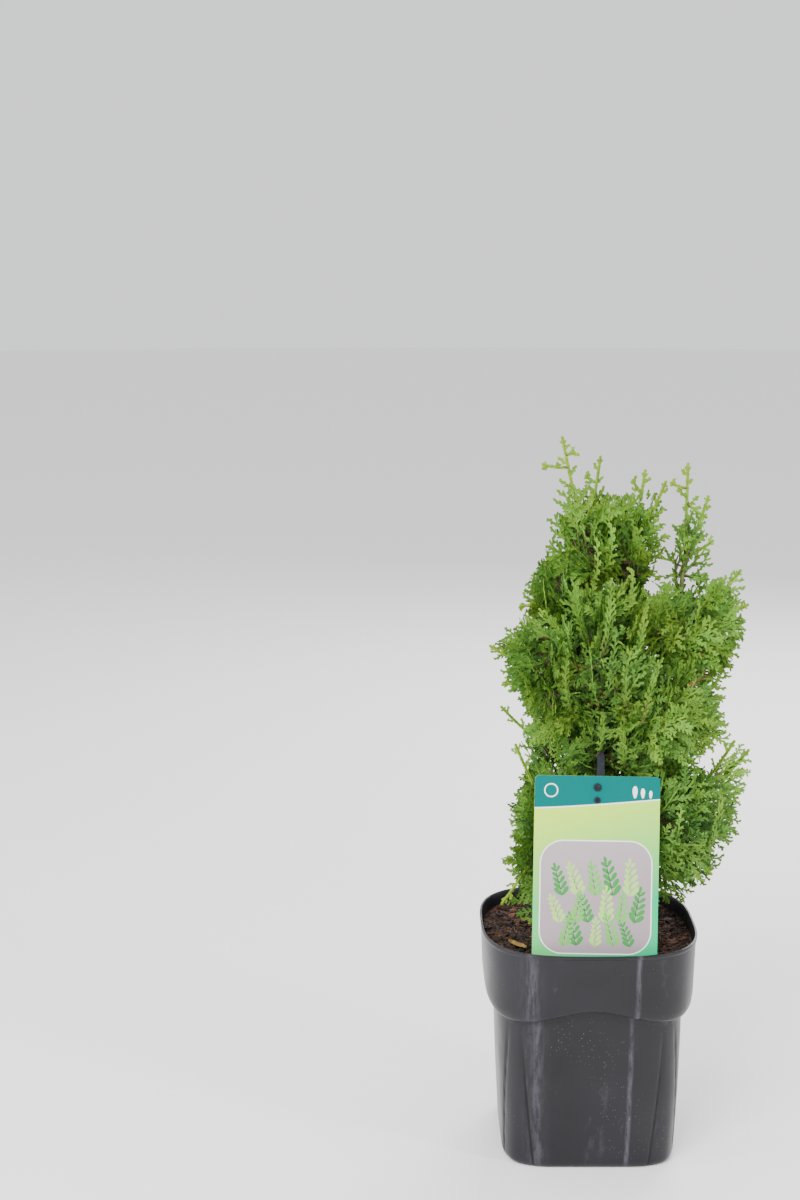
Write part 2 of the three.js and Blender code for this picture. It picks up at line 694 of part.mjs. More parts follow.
const stickTop = CARD_LENGTH + STICK_ABOVE_CARD;
const obstacles = [
  labelRoom(0, CARD_WIDTH / 2 + LABEL_MARGIN, CARD_LENGTH + LABEL_MARGIN),
  labelRoom(STICK_OFFSET, STICK_WIDTH / 2 + LABEL_MARGIN, stickTop + LABEL_MARGIN),
];
for (const [name, limb] of Object.entries(LIMBS)) {
  const isTrunk = name === 'trunk';
  let body = isTrunk ? trunkSolid(0) : limbSolid(limb, 0);
  for (const other of obstacles) body = body.subtract(other);
  plant.add(piece(name, largest(body), BARK));
  obstacles.push(isTrunk ? trunkSolid(GAP) : limbSolid(limb, GAP));
}

Object.entries(MASSES).forEach(([name, mass], i) => {
  plant.add(piece(name, growMass(mass, SEED + i, obstacles), FOLIAGE));
});

export default plant;
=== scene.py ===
"""Potted thuja: a young conifer with two leaders in a nursery pot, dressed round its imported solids."""

import math

import bpy
import numpy as np
from bpy.props import FloatProperty, FloatVectorProperty, IntProperty, PointerProperty
from mathutils import Matrix, Vector, noise


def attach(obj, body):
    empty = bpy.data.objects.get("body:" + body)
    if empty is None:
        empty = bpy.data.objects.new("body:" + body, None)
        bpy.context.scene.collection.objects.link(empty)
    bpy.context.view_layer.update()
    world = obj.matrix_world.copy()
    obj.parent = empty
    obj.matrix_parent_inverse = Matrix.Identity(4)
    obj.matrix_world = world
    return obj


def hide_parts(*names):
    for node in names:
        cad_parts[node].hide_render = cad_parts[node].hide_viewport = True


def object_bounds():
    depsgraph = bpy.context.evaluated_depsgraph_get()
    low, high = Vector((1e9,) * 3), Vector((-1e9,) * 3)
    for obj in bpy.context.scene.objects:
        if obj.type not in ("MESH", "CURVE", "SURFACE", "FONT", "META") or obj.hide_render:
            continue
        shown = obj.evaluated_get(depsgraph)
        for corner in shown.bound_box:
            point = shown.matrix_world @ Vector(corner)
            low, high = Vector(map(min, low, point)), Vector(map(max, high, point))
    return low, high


bl_info = {
    "name": "Potted Thuja",
    "version": (1, 0, 0),
    "blender": (4, 5, 0),
    "location": "3D View > Sidebar > Thuja",
    "description": "Builds a young conifer in a nursery pot of soil, with a plant label on a stick",
    "category": "Add Mesh",
}

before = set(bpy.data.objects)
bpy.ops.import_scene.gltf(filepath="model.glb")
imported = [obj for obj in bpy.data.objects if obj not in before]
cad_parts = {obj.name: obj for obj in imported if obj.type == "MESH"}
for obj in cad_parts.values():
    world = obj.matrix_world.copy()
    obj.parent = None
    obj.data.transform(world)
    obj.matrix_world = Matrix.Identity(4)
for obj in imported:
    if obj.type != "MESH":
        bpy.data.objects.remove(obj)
CAD_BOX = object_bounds()

# The shapes are worked out in millimetres, as the solids are, and stored in metres
MM = 0.001
UP = np.array([0.0, 0.0, 1.0])
SIDEWAYS = np.array([1.0, 0.0, 0.0])

# Nursery pot
POT_HEIGHT = 150.5
POT_HALF_WIDTH = 71.0
POT_COLLAR_HALF_WIDTH = 69.2
POT_BODY_HALF_WIDTH = 62.2
POT_FOOT_HALF_WIDTH = 57.0
POT_SQUARENESS = 3.1
FOOT_SQUARENESS = 6.0
POT_WALL = 1.6
POT_FLOOR = 2.2
COLLAR_EDGE = 101.0
COLLAR_WAVE = 10.0
COLLAR_WAVE_FADE = 12.0
COLLAR_ROUNDING = 7.0
FLUTE_DEPTH = 1.4
FLUTE_HALF_ANGLE = 0.2
FLUTE_SHARPNESS = 4
FLUTE_TOP = COLLAR_EDGE - 8
CREASE_DEPTH = 0.9
CREASE_HALF_WIDTH = 0.022
CREASE_TURNS = (0.19, 0.07)
CREASE_TOP = COLLAR_EDGE - 6
CREASE_FADE = 12.0
CREASE_DARK_BELOW = COLLAR_EDGE - 45
POT_SIDES = 320
PROFILE_STEP = 5.0
# Painted highlights in upright strips round the pot, one to a row: turn from the back, half width, both in
# radians, and share
PAINTED_HIGHLIGHT_STRIPS = ((-2.57, 0.15, 0.12), (-2.59, 0.07, 0.26), (2.76, 0.032, 0.5), (0.9, 0.1, 0.14))
DUST_COLOR = (0.28, 0.26, 0.24, 1)
DRAIN_RADIUS = 3.5
DRAIN_CIRCLE = 36.0
DRAIN_COUNT = 6

# Potting soil
SOIL_TOP = 141.5
SOIL_DIP = 1.6
SOIL_RIM_DIP = 0.4
SOIL_DIP_RADIUS = 38.0
SOIL_RISE_WIDTH = 18.0
SOIL_SETTLING = 0.5
SOIL_EDGE = 64.0
SOIL_LEVEL_FROM = SOIL_TOP - 3
SOIL_RINGS = 46
SOIL_PROFILE_STEP = 12.0
# Lumps of three sizes, one to a row: size across, slice through the noise, share of the relief
SOIL_LUMPS = ((22, 3.1, 0.6), (6.5, 7.7, 0.5), (2.4, 1.3, 0.32))
# Where the lumps grow flatter towards the wall, over what width, and how flat
LUMPS_END = 66.0
LUMPS_FADE = 8.0
LEAST_LUMPS = 0.5

# Bits on the soil, one kind to a row: the name, the tone, and the share of all chips or the number
CHIP_KINDS = (
    ("soil_chips_dark", 0.45, 0.5), ("soil_chips_red", 1.9, 0.4), ("soil_chips_pale", 4.2, 0.1),
)
FIBRE_KINDS = (("soil_fibres", 3.4, 380), ("soil_fibres_dark", 1.0, 300))
CHIP_SIDES = 6
CHIP_SIZE_SPREAD = (0.28, 0.5)
CHIP_SIZES = (0.6, 4.2)
FIBRE_LENGTHS = (4, 15)
FIBRE_WIDTHS = (0.18, 0.42)
FIBRE_STEPS = 5
BITS_SPAN = 68.0
BITS_REACH = 67.5
BITS_LIMIT = 68.4
TRUNK_CLEARANCE = 9.0
DRY_LEAF_PLACE = (-48.0, -33.0)
DRY_LEAF_SIZE = (17.0, 5.0)
DRY_LEAF_TURN = -0.9
DRY_LEAF_LIFT = 3.2

# Plant label
CARD_WIDTH = 80.0
CARD_LENGTH = 119.0
CARD_THICKNESS = 0.8
CARD_CORNER = 2.7
CARD_LEAN = math.radians(10)
CARD_TURN = math.radians(-1)
CARD_FOOT = (-0.5, -59.0, SOIL_TOP + 1.2)
PIN_DROPS = (7.2, 15.4)
PIN_RADII = (1.9, 1.5)
PIN_HEAD_RATIO = 1.35
PIN_HEAD_HEIGHT = 1.1
PIN_HEAD_ROUNDING = 0.55
PIN_GAP = 0.08
PIN_HOLLOW = 0.5
STICK_WIDTH = 8.0
STICK_TIP_WIDTH = 4.6
STICK_THICKNESS = 3.0
STICK_ABOVE_CARD = 15.0
STICK_BELOW_SOIL = 20.0
STICK_POINT = 12.0
STICK_OFFSET = 2.0
STICK_GAP = 0.3

# Print on the card: the band's lower edge, the panel and the ring as left, bottom, right and top
BAND_DROP = 20.5
BAND_RISE = 6.5
BAND_CURVE = 1.3
BAND_LINE = 0.9
PANEL = (-36, 5, 36, 78)
PANEL_CORNER = 15
RING = (-34, CARD_LENGTH - 14, -25, CARD_LENGTH - 5)
RING_CORNER = 4.4
OUTLINE_WIDTH = 0.8
PANEL_COLORS = ((0.46, 0.4, 0.42), (0.34, 0.28, 0.31))
SPRIG_COLORS = ((0.05, 0.27, 0.06), (0.38, 0.66, 0.16), (0.16, 0.46, 0.1))
# Rows of sprigs: height of their feet and how many there are
SPRIG_ROWS = ((41, 5), (24, 6), (9, 5))
SPRIG_SPAN = 56
SPRIG_BEND = 0.12
SPRIG_PAIRS = 5
# Where each layer of print starts and ends, above the face of the card
LAYERS = {
    "label_band": (0, 0.05),
    "label_line": (0.005, 0.06),
    "label_panel_line": (0, 0.03),
    "label_panel": (0.005, 0.045),
    "label_sprigs_1": (0.01, 0.055),
    "label_sprigs_2": (0.01, 0.063),
    "label_sprigs_3": (0.01, 0.071),
    "label_marks": (0.01, 0.07),
    "label_ring_middle": (0.02, 0.08),
}

# Growth rule of the solids, carried on here to finer twigs
SEED = 41
GOLDEN = 2.39996
LEVEL_STEP = 0.75488
HEIGHT_WEIGHT = 0.72
SHOOT_MARGIN = 40.0
STEM_CLEARANCE = 0.35
STEM_START = 6.0
STEM_RADII = (1.5, 0.9)
TWIG_RADII = (0.9, 0.45)
STEEP = 0.85
FROND = {"bare": 0.2, "spread": 0.5, "twist": 0.5}
SHOOT = {"bare": 0.4, "spread": 0.2, "twist": 0.3}
SIDE_SHOOT = {"bare": 0.05, "spread": 0.2, "twist": 0.1}
FROND_BOW = 0.1
FINER_LENGTH = 27.0
FINER_LENGTHS = (0.8, 1.25)
FINER_REACH = (0.7, 1.03)
OUTWARD = 0.5
LEANING = 0.75
FROND_SHARES = (1, 0.92, 0.84, 0.76, 0.66, 0.56, 0.45)
ROOT_FREE = 4.0
OUTLINE_MARGIN = 1.5
MOUTH_RADIUS = POT_FOOT_HALF_WIDTH + 4
LIMB_STEP = 5
CELL_OVERLAP = 8.0
LIMB_MARGIN = 1.1
LABEL_MARGIN = 1.6
GROUND_MARGIN = 2.0
LIMB_TAPER = 0.85
FLARE_FADE = 38

# Limbs: points from foot to tip, and the radii at both ends
LIMBS = {
    "trunk": {
        "points": [(6, 5, SOIL_TOP - 4), (4, 5, 200), (-1, 4, 270), (-3, 3, 340), (-7, 2, 390)],
        "radii": (5.4, 1.5),
        "flare": 3.2,
    },
    "leader_right": {
        "points": [(6, 4, 186), (26, 1, 240), (45, -1, 292), (54, -1, 336), (57, 0, 372)],
        "radii": (3.4, 1.3),
    },
    "bough_top_middle": {"points": [(-2, 4, 318), (8, 6, 345), (20, 8, 374)], "radii": (1.9, 1.2)},
    "bough_upper_left": {"points": [(-2, 4, 296), (-11, 6, 322), (-21, 7, 348)], "radii": (1.9, 1.2)},
    "bough_left_upper": {"points": [(0, 4, 248), (-14, -3, 274), (-27, -10, 300)], "radii": (2.3, 1.3)},
    "bough_front": {"points": [(0, 4, 240), (2, -12, 276), (4, -28, 314)], "radii": (2.2, 1.3)},
    "bough_back_upper": {"points": [(-1, 4, 272), (3, 18, 300), (6, 32, 330)], "radii": (2.2, 1.3)},
    "bough_right_upper": {"points": [(54, -1, 318), (61, -2, 332), (68, -3, 345)], "radii": (1.9, 1.2)},
    "bough_right_middle": {"points": [(30, 0, 244), (38, -9, 262), (46, -17, 281)], "radii": (2.1, 1.3)},
    "bough_right_lower": {"points": [(5, 5, 166), (24, 0, 184), (46, -4, 204)], "radii": (2.6, 1.4)},
    "bough_middle": {"points": [(3, 5, 218), (8, -4, 234), (12, -12, 250)], "radii": (2, 1.3)},
    "bough_left_lower": {"points": [(5, 5, 172), (-8, -2, 186), (-22, -9, 204)], "radii": (2.4, 1.4)},
    "bough_front_lower": {"points": [(5, 5, 158), (6, -6, 168), (7, -16, 182)], "radii": (2, 1.3)},
    "bough_back_left": {"points": [(4, 5, 196), (-8, 17, 216), (-20, 30, 238)], "radii": (2.4, 1.4)},
    "bough_back_right": {"points": [(5, 5, 180), (18, 18, 200), (32, 32, 226)], "radii": (2.4, 1.4)},
}

# Masses of foliage: the limb that carries each, its middle, its reach along X, Y and Z, and the tips
# of the long shoots that stand out of it. Its finer fronds lean one way, turn their flat sides so far
# from the front, with a variation, spread so wide and are so many. A mood below 0 is painted shade,
# which darkens the tones of a mass that stands in the crown's shade
MASSES = {
    "foliage_top_left": {
        "limb": "trunk", "centre": (-4, -3, 405), "reach": (25, 28, 33),
        "shoots": [(-21, 0, 472), (3, -4, 460)],
        "lean": (-0.15, -0.1, 1), "turn": (0.8, 0.6), "spread": 0.42, "fullness": 1.0,
    },
    "foliage_top_middle": {
        "limb": "bough_top_middle", "centre": (26, 6, 402), "reach": (24, 28, 38),
        "shoots": [(33, 6, 450), (46, 4, 443)],
        "lean": (0.1, -0.1, 1), "turn": (0.5, 0.6), "spread": 0.45, "fullness": 0.7,
    },
    "foliage_top_right": {
        "limb": "leader_right", "centre": (60, 1, 402), "reach": (17, 22, 34),
        "shoots": [(59.5, 0, 455), (73, 0, 434), (76, -4, 406)],
        "lean": (0.3, 0, 0.9), "turn": (0.0, 0.5), "spread": 0.4, "fullness": 0.3,
    },
    "foliage_upper_left": {
        "limb": "bough_upper_left", "centre": (-20, 8, 368), "reach": (26, 34, 34),
        "shoots": [(-46, 6, 362)],
        "lean": (-0.3, -0.15, 0.8), "turn": (0.5, 0.5), "spread": 0.45, "fullness": 1.0,
    },
    "foliage_left_upper": {
        "limb": "bough_left_upper", "centre": (-28, -10, 322), "reach": (36, 44, 40),
        "shoots": [(-66, -8, 338), (-58, -14, 314)],
        "lean": (-0.7, -0.2, -0.35), "turn": (0.15, 0.35), "spread": 0.5, "fullness": 1.1,
    },
    "foliage_front": {
        "limb": "bough_front", "centre": (4, -30, 335), "reach": (34, 32, 64),
        "shoots": [],
        "lean": (-0.05, -0.15, 1), "turn": (1.25, 0.4), "spread": 0.36, "fullness": 1.15,
    },
    "foliage_back_upper": {
        "limb": "bough_back_upper", "centre": (6, 34, 362), "reach": (40, 34, 56),
        "shoots": [(12, 40, 428)],
        "lean": (0, 0.2, 1), "turn": (0.0, 0.9), "spread": 0.45, "fullness": 0.8,
    },
    "foliage_right_upper": {
        "limb": "bough_right_upper", "centre": (66, -4, 350), "reach": (33, 40, 38),
        "shoots": [(94, -6, 387), (100, -2, 364), (93, 6, 334)],
        "lean": (0.75, -0.1, 0.45), "turn": (0.0, 0.35), "spread": 0.5, "fullness": 1.0,
    },
    "foliage_right_middle": {
        "limb": "bough_right_middle", "centre": (46, -18, 300), "reach": (38, 40, 40),
        "shoots": [(84, -12, 305)],
        "lean": (0.75, -0.15, 0.35), "turn": (-0.1, 0.35), "spread": 0.5, "fullness": 1.1,
    },
    "foliage_right_lower": {
        "limb": "bough_right_lower", "centre": (56, -4, 218), "reach": (44, 42, 48),
        "shoots": [(103, -6, 268), (92, -14, 276), (101, 4, 238), (80, -12, 186)],
        "lean": (0.8, -0.1, 0.0), "turn": (0.0, 0.35), "spread": 0.5, "fullness": 1.0,
        # Painted shade: darker tones for this mass
        "mood": -0.06,
    },
    "foliage_left_lower": {
        "limb": "bough_left_lower", "centre": (-24, -8, 212), "reach": (30, 40, 60),
        "shoots": [(-49, -8, 272), (-57, -10, 165)],
        "lean": (-0.6, -0.2, 0.3), "turn": (0.3, 0.4), "spread": 0.5, "fullness": 1.0,
    },
    "foliage_front_lower": {
        "limb": "bough_front_lower", "centre": (8, -16, 212), "reach": (36, 30, 60),
        "shoots": [],
        "lean": (0, -0.3, 0.8), "turn": (1.1, 0.5), "spread": 0.42, "fullness": 0.7,
        # Painted shade: darker tones for this mass
        "mood": -0.14,
    },
    "foliage_middle": {
        "limb": "bough_middle", "centre": (12, -16, 278), "reach": (34, 32, 36),
        "shoots": [],
        "lean": (0.05, -0.2, 1), "turn": (1.25, 0.45), "spread": 0.38, "fullness": 1.2,
        # Painted shade: darker tones for this mass
        "mood": -0.16,
    },
    "foliage_back_left": {
        "limb": "bough_back_left", "centre": (-20, 34, 240), "reach": (34, 38, 74),
        "shoots": [(-56, 40, 286)],
        "lean": (-0.4, 0.5, 0.4), "turn": (0.0, 0.5), "spread": 0.5, "fullness": 0.85,
    },
    "foliage_back_right": {
        "limb": "bough_back_right", "centre": (34, 36, 240), "reach": (42, 38, 74),
        "shoots": [(72, 52, 296)],
        "lean": (0.5, 0.5, 0.3), "turn": (0.0, 0.5), "spread": 0.5, "fullness": 0.85,
    },
}
FULL_SIZE = 5000

# Long narrow plumes on the outside of the crown: where each turns upwards, and its tip
PLUMES = {
    "foliage_front": [
        ((5, -58, 298), (10, -54, 358)), ((15, -54, 302), (17, -52, 340)),
        ((-8, -54, 318), (1, -52, 360)), ((-13, -48, 345), (-15, -42, 386)),
        ((24, -46, 358), (20, -42, 394)), ((-3, -58, 300), (-6, -56, 344)),
        ((8, -56, 338), (6, -50, 388)), ((22, -54, 328), (29, -46, 370)),
    ],
    "foliage_top_left": [
        ((3, -33, 370), (-1, -30, 412)), ((13, -30, 380), (8, -28, 420)),
    ],
    "foliage_right_middle": [((28, -54, 304), (38, -52, 338))],
    "foliage_left_upper": [((-24, -50, 300), (-20, -46, 340))],
    "foliage_middle": [
        ((2, -46, 270), (4, -46, 302)), ((15, -46, 264), (17, -46, 300)),
        ((27, -34, 252), (26, -32, 284)),
    ],
    "foliage_upper_left": [((-30, -22, 345), (-33, -18, 382))],
    "foliage_right_upper": [((58, -40, 330), (64, -36, 372))],
    "foliage_right_lower": [
        ((52, -42, 196), (55, -42, 240)), ((76, -34, 200), (83, -30, 244)),
    ],
    "foliage_left_lower": [((-46, -36, 176), (-50, -32, 214))],
    "foliage_back_upper": [
        ((6, 64, 330), (4, 60, 386)), ((-16, 58, 326), (-20, 54, 370)),
    ],
    "foliage_back_left": [((-22, 68, 222), (-24, 66, 282))],
    "foliage_back_right": [
        ((36, 70, 226), (39, 68, 284)), ((56, 62, 220), (62, 58, 268)),
    ],
}
PLUME = {"bare": 0.12, "twist": 0.55, "spread": 0.11}
PLUME_SPACING = 2.3
PLUME_MOOD = 0.05

# Short side shoots of the leaders: which shoot of the mass, where along it, and the tip
SIDE_SHOOTS = {
    "foliage_top_left": [(0, 0.72, (-33, 0, 455)), (0, 0.84, (-13, 0, 463)), (1, 0.7, (-6, -3, 448))],
    "foliage_top_middle": [(0, 0.72, (25, 5, 444))],
    "foliage_top_right": [(0, 0.74, (49, 0, 443)), (0, 0.58, (72, 0, 421))],
}

# The crown's outline in the trunk's plane, seen from the front: across and up, round from the left foot
OUTLINE = np.array([
    (-30, 140), (-44, 150), (-57, 165), (-53, 180), (-51, 198), (-46, 215), (-46, 240), (-36, 259),
    (-49, 272), (-36, 287), (-39, 291), (-45, 307), (-58, 316), (-53, 331), (-66, 338), (-61, 350),
    (-48, 360), (-43, 366), (-37, 381), (-33, 391), (-28, 405), (-27, 417), (-21, 440), (-10, 441),
    (11, 439), (22, 438), (30, 446), (36, 446), (45, 443), (49, 443), (55, 448), (60, 457), (64, 446),
    (74, 436), (74, 420), (78, 407), (72, 396), (80, 390), (94, 389), (95, 380), (103, 367), (99, 352),
    (95, 336), (88, 329), (85, 314), (80, 307), (79, 299), (86, 288), (93, 277), (82, 268), (104, 270),
    (102, 240), (95, 222), (92, 208), (78, 202), (81, 183), (68, 165), (52, 157), (44, 147), (30, 140),
], float)

# Tips inside and on that outline that a frond of their own reaches
EDGE_TIPS = [
    (93, -2, 335), (88, -6, 328), (84, -6, 314), (80, -8, 306), (78, -8, 299), (85, -10, 288),
    (92, -12, 277), (80, -4, 183), (67, -6, 165), (60, -10, 176), (50, -6, 168), (94, -4, 222),
    (-28, 4, 405), (-33, 4, 391), (-40, 2, 378), (-44, -6, 306), (-39, -8, 289), (-52, -8, 331),
    (-36, -6, 258), (-50, -8, 198), (-39, -6, 150), (8, -20, 322), (18, -16, 306),
    (-20, 0, 438), (-10, -4, 440), (1, 0, 439), (11, 4, 437), (-25, 4, 422), (24, 6, 434), (38, 6, 430),
    (-14, -14, 432), (4, -14, 430), (18, -8, 430), (-63, -8, 337), (-58, -12, 328), (-56, -8, 346),
    (95, -4, 368), (92, -6, 383), (84, -4, 379), (95, -2, 350), (101, -6, 266), (94, -8, 261),
    (100, 0, 250), (97, -4, 238), (12, 22, 324), (12, -6, 330), (28, 18, 320), (44, 12, 322),
    (44, -4, 318), (30, 8, 330), (20, 0, 326), (34, -8, 312), (-22, 6, 276), (-22, 22, 280),
    (-30, 0, 270), (-14, 4, 268), (2, -16, 300), (6, -20, 312), (-5, -16, 318), (11, -22, 298),
    (-1, -22, 290), (14, 10, 318), (16, 26, 330), (8, 14, 330), (20, 24, 318), (2, 24, 336),
    (26, 12, 390), (32, 14, 396), (18, 16, 388), (-4, 20, 300), (-10, 16, 320), (-16, 18, 336),
    (5, -26, 311), (4, -34, 311), (5, -12, 303), (0, -30, 320), (8, -30, 300), (3, -24, 306),
    (9, -28, 316), (14, 24, 264), (17, 24, 260), (10, 24, 262), (14, 18, 336), (17, 10, 334),
    (12, 28, 334), (20, 14, 336), (15, 4, 336), (48, 14, 330), (46, 20, 326), (50, 6, 328),
    (-30, -24, 368), (-24, -26, 366), (-36, -20, 362), (-28, -28, 358), (-20, -28, 372),
    (2, 26, 296), (8, 28, 306), (-2, 28, 314), (12, 26, 292), (0, 22, 322), (4, -30, 330),
    (6, -36, 322), (2, -34, 300), (6, -32, 290), (2, -30, 278), (8, -36, 312), (5, -26, 270),
    (12, -24, 362), (8, -26, 358), (14, -20, 360), (15, 20, 354), (13, 10, 358), (43, -22, 334),
    (46, -18, 332), (50, 24, 324), (52, 30, 322), (40, -24, 330), (-22, -30, 286), (-26, -24, 292),
    (32, -20, 357), (36, 10, 352), (37, 20, 350), (30, -14, 352), (34, -4, 354), (40, 20, 348),
    (38, 0, 352), (66, -10, 368), (62, 10, 366), (68, 8, 366), (22, -14, 284), (20, 10, 282),
    (24, 14, 280), (26, -8, 284), (-27, -14, 278), (-24, -20, 280), (-46, -10, 184), (-42, -14, 176),
    (-50, -4, 186), (-38, -16, 170), (-44, 0, 172), (35, -16, 344), (38, 16, 340), (33, -22, 346),
    (38, 24, 342), (36, 6, 344), (52, -14, 328), (54, 14, 324), (56, 4, 328),
]
EDGE_TURN = (0.0, 0.35)
# Tips that close the back of the crown between its upper and its lower masses
BACK_LEVELS = ((34, 318), (50, 302), (56, 318), (52, 332), (26, 308), (38, 298), (30, 290), (44, 308))
EDGE_TIPS += [(x, y, z) for x in range(-30, 50, 10) for y, z in BACK_LEVELS]

# Where sky shows through the crown, seen from the front: across and up in the trunk's plane, radius
SKY_GAPS = ((52, 424, 6), (34, 431, 3.5), (46, 389, 5.5), (39, 376, 4), (88, 345, 2.2), (76, 259, 4))
GAP_RAGGEDNESS = 2.5

# Camera and soft lights: name, place, size, share of the main light's power, and colour
VIEWPOINT = np.array([-124.5, -1272.0, 604.0])
CAMERA_TILT = math.radians(10.56)
LIGHT_TARGET = (0.02, 0, 0.22)
LIGHTS = (
    ("key_light", (-0.7, -1.3, 1.5), (0.9, 0.9), 1, (1, 0.985, 0.96)),
    ("right_light", (1.15, -0.75, 0.75), (0.16, 0.9), 0.22, (1, 1, 1)),
    ("left_light", (-1.3, -0.35, 0.5), (0.4, 0.9), 0.2, (0.9, 0.92, 1)),
    ("back_light", (0.5, 1.4, 1.2), (0.9, 0.9), 0.6, (1, 1, 0.98)),
)
FLOOR_RADIUS = 9


# Settings


def color_setting(name, description, default):
    return FloatVectorProperty(
        name=name, description=description, default=default, subtype="COLOR", min=0, max=1
    )


def length_setting(name, description, default):
    return FloatProperty(name=name, description=description, default=default, unit="LENGTH", min=0)


def count_setting(name, description, default):
    return IntProperty(name=name, description=description, default=default, min=0)


class ThujaPotSettings(bpy.types.PropertyGroup):
    """Sizes and colours of the pot and the soil"""

    plastic_color: color_setting("Plastic", "Colour of the pot's plastic", (0.013, 0.0125, 0.0155))
    # The scuffs' colour, which also colours the painted highlights in upright strips round the pot
    wear_and_highlight_color: color_setting("Wear", "Colour of the scuffs on the pot", (0.13, 0.12, 0.145))
    soil_color: color_setting("Soil", "Colour of the moist peat", (0.042, 0.018, 0.0095))
    dry_leaf_color: color_setting("Dry leaf", "Colour of the dry leaf on the soil", (0.46, 0.28, 0.06))
    soil_relief: length_setting("Soil relief", "Height of the lumps in the soil", 2.2 * MM)
    bits: count_setting("Soil bits", "Number of chips lying on the soil", 2600)


class ThujaPlantSettings(bpy.types.PropertyGroup):
    """Sizes and colours of the plant"""

    fronds: count_setting("Main fronds", "Fronds tried in each mass from its stem to its full reach", 22)
    finer_fronds: count_setting("Finer fronds", "Fronds tried in each mass off the main ones", 84)
    branchlet_width: length_setting("Branchlet width", "Width of the finest branchlets", 1.34 * MM)
    deep_color: color_setting("Deep green", "Colour of the inner foliage", (0.05, 0.125, 0.026))
    mid_color: color_setting("Mid green", "Colour of most of the foliage", (0.09, 0.213, 0.032))
    bright_color: color_setting("Bright green", "Colour of the outer foliage", (0.134, 0.282, 0.034))
    tip_color: color_setting("Tip green", "Colour of young tips and leader shoots", (0.168, 0.31, 0.03))
    dry_color: color_setting("Dry sprays", "Colour of the few dried sprays", (0.13, 0.062, 0.022))
    bark_color: color_setting("Bark", "Colour of trunk and boughs", (0.16, 0.07, 0.035))
    twig_color: color_setting("Twigs", "Colour of the thin bare twigs", (0.1, 0.075, 0.02))


class ThujaLabelSettings(bpy.types.PropertyGroup):
    """Colours of the label"""

    band_color: color_setting("Band", "Colour of the band across the top", (0.0, 0.138, 0.13))
    field_color: color_setting("Field", "Colour of the field at its upper left", (0.62, 0.88, 0.05))
    field_end_color: color_setting("Field end", "Colour of the field at its lower right", (0.0, 0.48, 0.2))
    line_color: color_setting("Lines", "Colour of the thin printed lines", (0.86, 0.9, 0.84))
    stick_color: color_setting("Stick", "Colour of the stick and its pins", (0.016, 0.018, 0.024))


class ThujaStageSettings(bpy.types.PropertyGroup):
    """Floor, light and camera"""

    floor_color: color_setting("Floor", "Colour of the floor", (0.92, 0.915, 0.91))
    sky_strength: FloatProperty(
        name="Surrounding light", description="Strength of the even light all round", default=1.25, min=0
    )
    key_power: FloatProperty(
        name="Main light", description="Power of the main soft light", default=44, min=0, unit="POWER"
    )
    lens: FloatProperty(
        name="Lens", description="Focal length of the camera, in millimetres", default=60, min=1
    )


# Making meshes


def add_object(operator, **settings):
    """Adds an object with the operator, with nothing else selected, and returns it."""
    bpy.ops.object.select_all(action="DESELECT")
    operator(**settings)
    return bpy.context.object


def activate(piece):
    bpy.ops.object.select_all(action="DESELECT")
    piece.select_set(True)
    bpy.context.view_layer.objects.active = piece


def begin_edit(how="VERT"):
    """Opens the active piece with all of it selected."""
    bpy.ops.object.mode_set(mode="EDIT")
    bpy.ops.mesh.select_mode(type=how)
    bpy.ops.mesh.select_all(action="SELECT")


def end_edit():
    bpy.ops.object.mode_set(mode="OBJECT")


def select_verts(piece, test):
    """Selects the vertices whose place passes the test, and nothing else."""
    end_edit()
    for part in (piece.data.vertices, piece.data.edges, piece.data.polygons):
        part.foreach_set("select", np.zeros(len(part), bool))
    for vertex in piece.data.vertices:
        vertex.select = bool(test(vertex.co))
    bpy.ops.object.mode_set(mode="EDIT")
    bpy.ops.mesh.select_mode(type="VERT")


def outward_normals():
    """Merges doubles and turns all faces of the piece in edit mode outwards."""
    bpy.ops.mesh.select_all(action="SELECT")
    bpy.ops.mesh.remove_doubles(threshold=1e-6)
    bpy.ops.mesh.normals_make_consistent(inside=False)


def shade_smooth(degrees):
    """Smooth shading on the active piece, with edges kept that are sharper than the angle."""
    bpy.ops.object.shade_smooth_by_angle(angle=math.radians(degrees))


def finish_piece(piece, name, material, replaces=()):
    """Names a finished piece, gives it its material and places it on the body."""
    piece.name = name
    piece.data.name = name
    piece.data.materials.clear()
    piece.data.materials.append(material)
    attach(piece, "root")
    if replaces:
        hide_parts(*replaces)
    return piece


def array_mesh(name, vertices, faces, smooth=True):
    """A mesh object from an array of vertices and one of equal-sided faces, in millimetres."""
    mesh = bpy.data.meshes.new(name)
    sides = faces.shape[1]
    mesh.vertices.add(len(vertices))
    mesh.vertices.foreach_set("co", (vertices * MM).astype(np.float32).ravel())
    mesh.loops.add(faces.size)
    mesh.loops.foreach_set("vertex_index", faces.astype(np.int32).ravel())
    mesh.polygons.add(len(faces))
    mesh.polygons.foreach_set("loop_start", np.arange(0, faces.size, sides, dtype=np.int32))
    mesh.polygons.foreach_set("use_smooth", np.full(len(faces), smooth))
    mesh.update(calc_edges=True)
    piece = bpy.data.objects.new(name, mesh)
    bpy.context.collection.objects.link(piece)
    return piece


def apply_modifier(piece, kind, **settings):
    modifier = piece.modifiers.new(kind.title(), kind)
    for key, value in settings.items():
        setattr(modifier, key, value)
    bpy.ops.object.modifier_apply(modifier=modifier.name)


# Materials


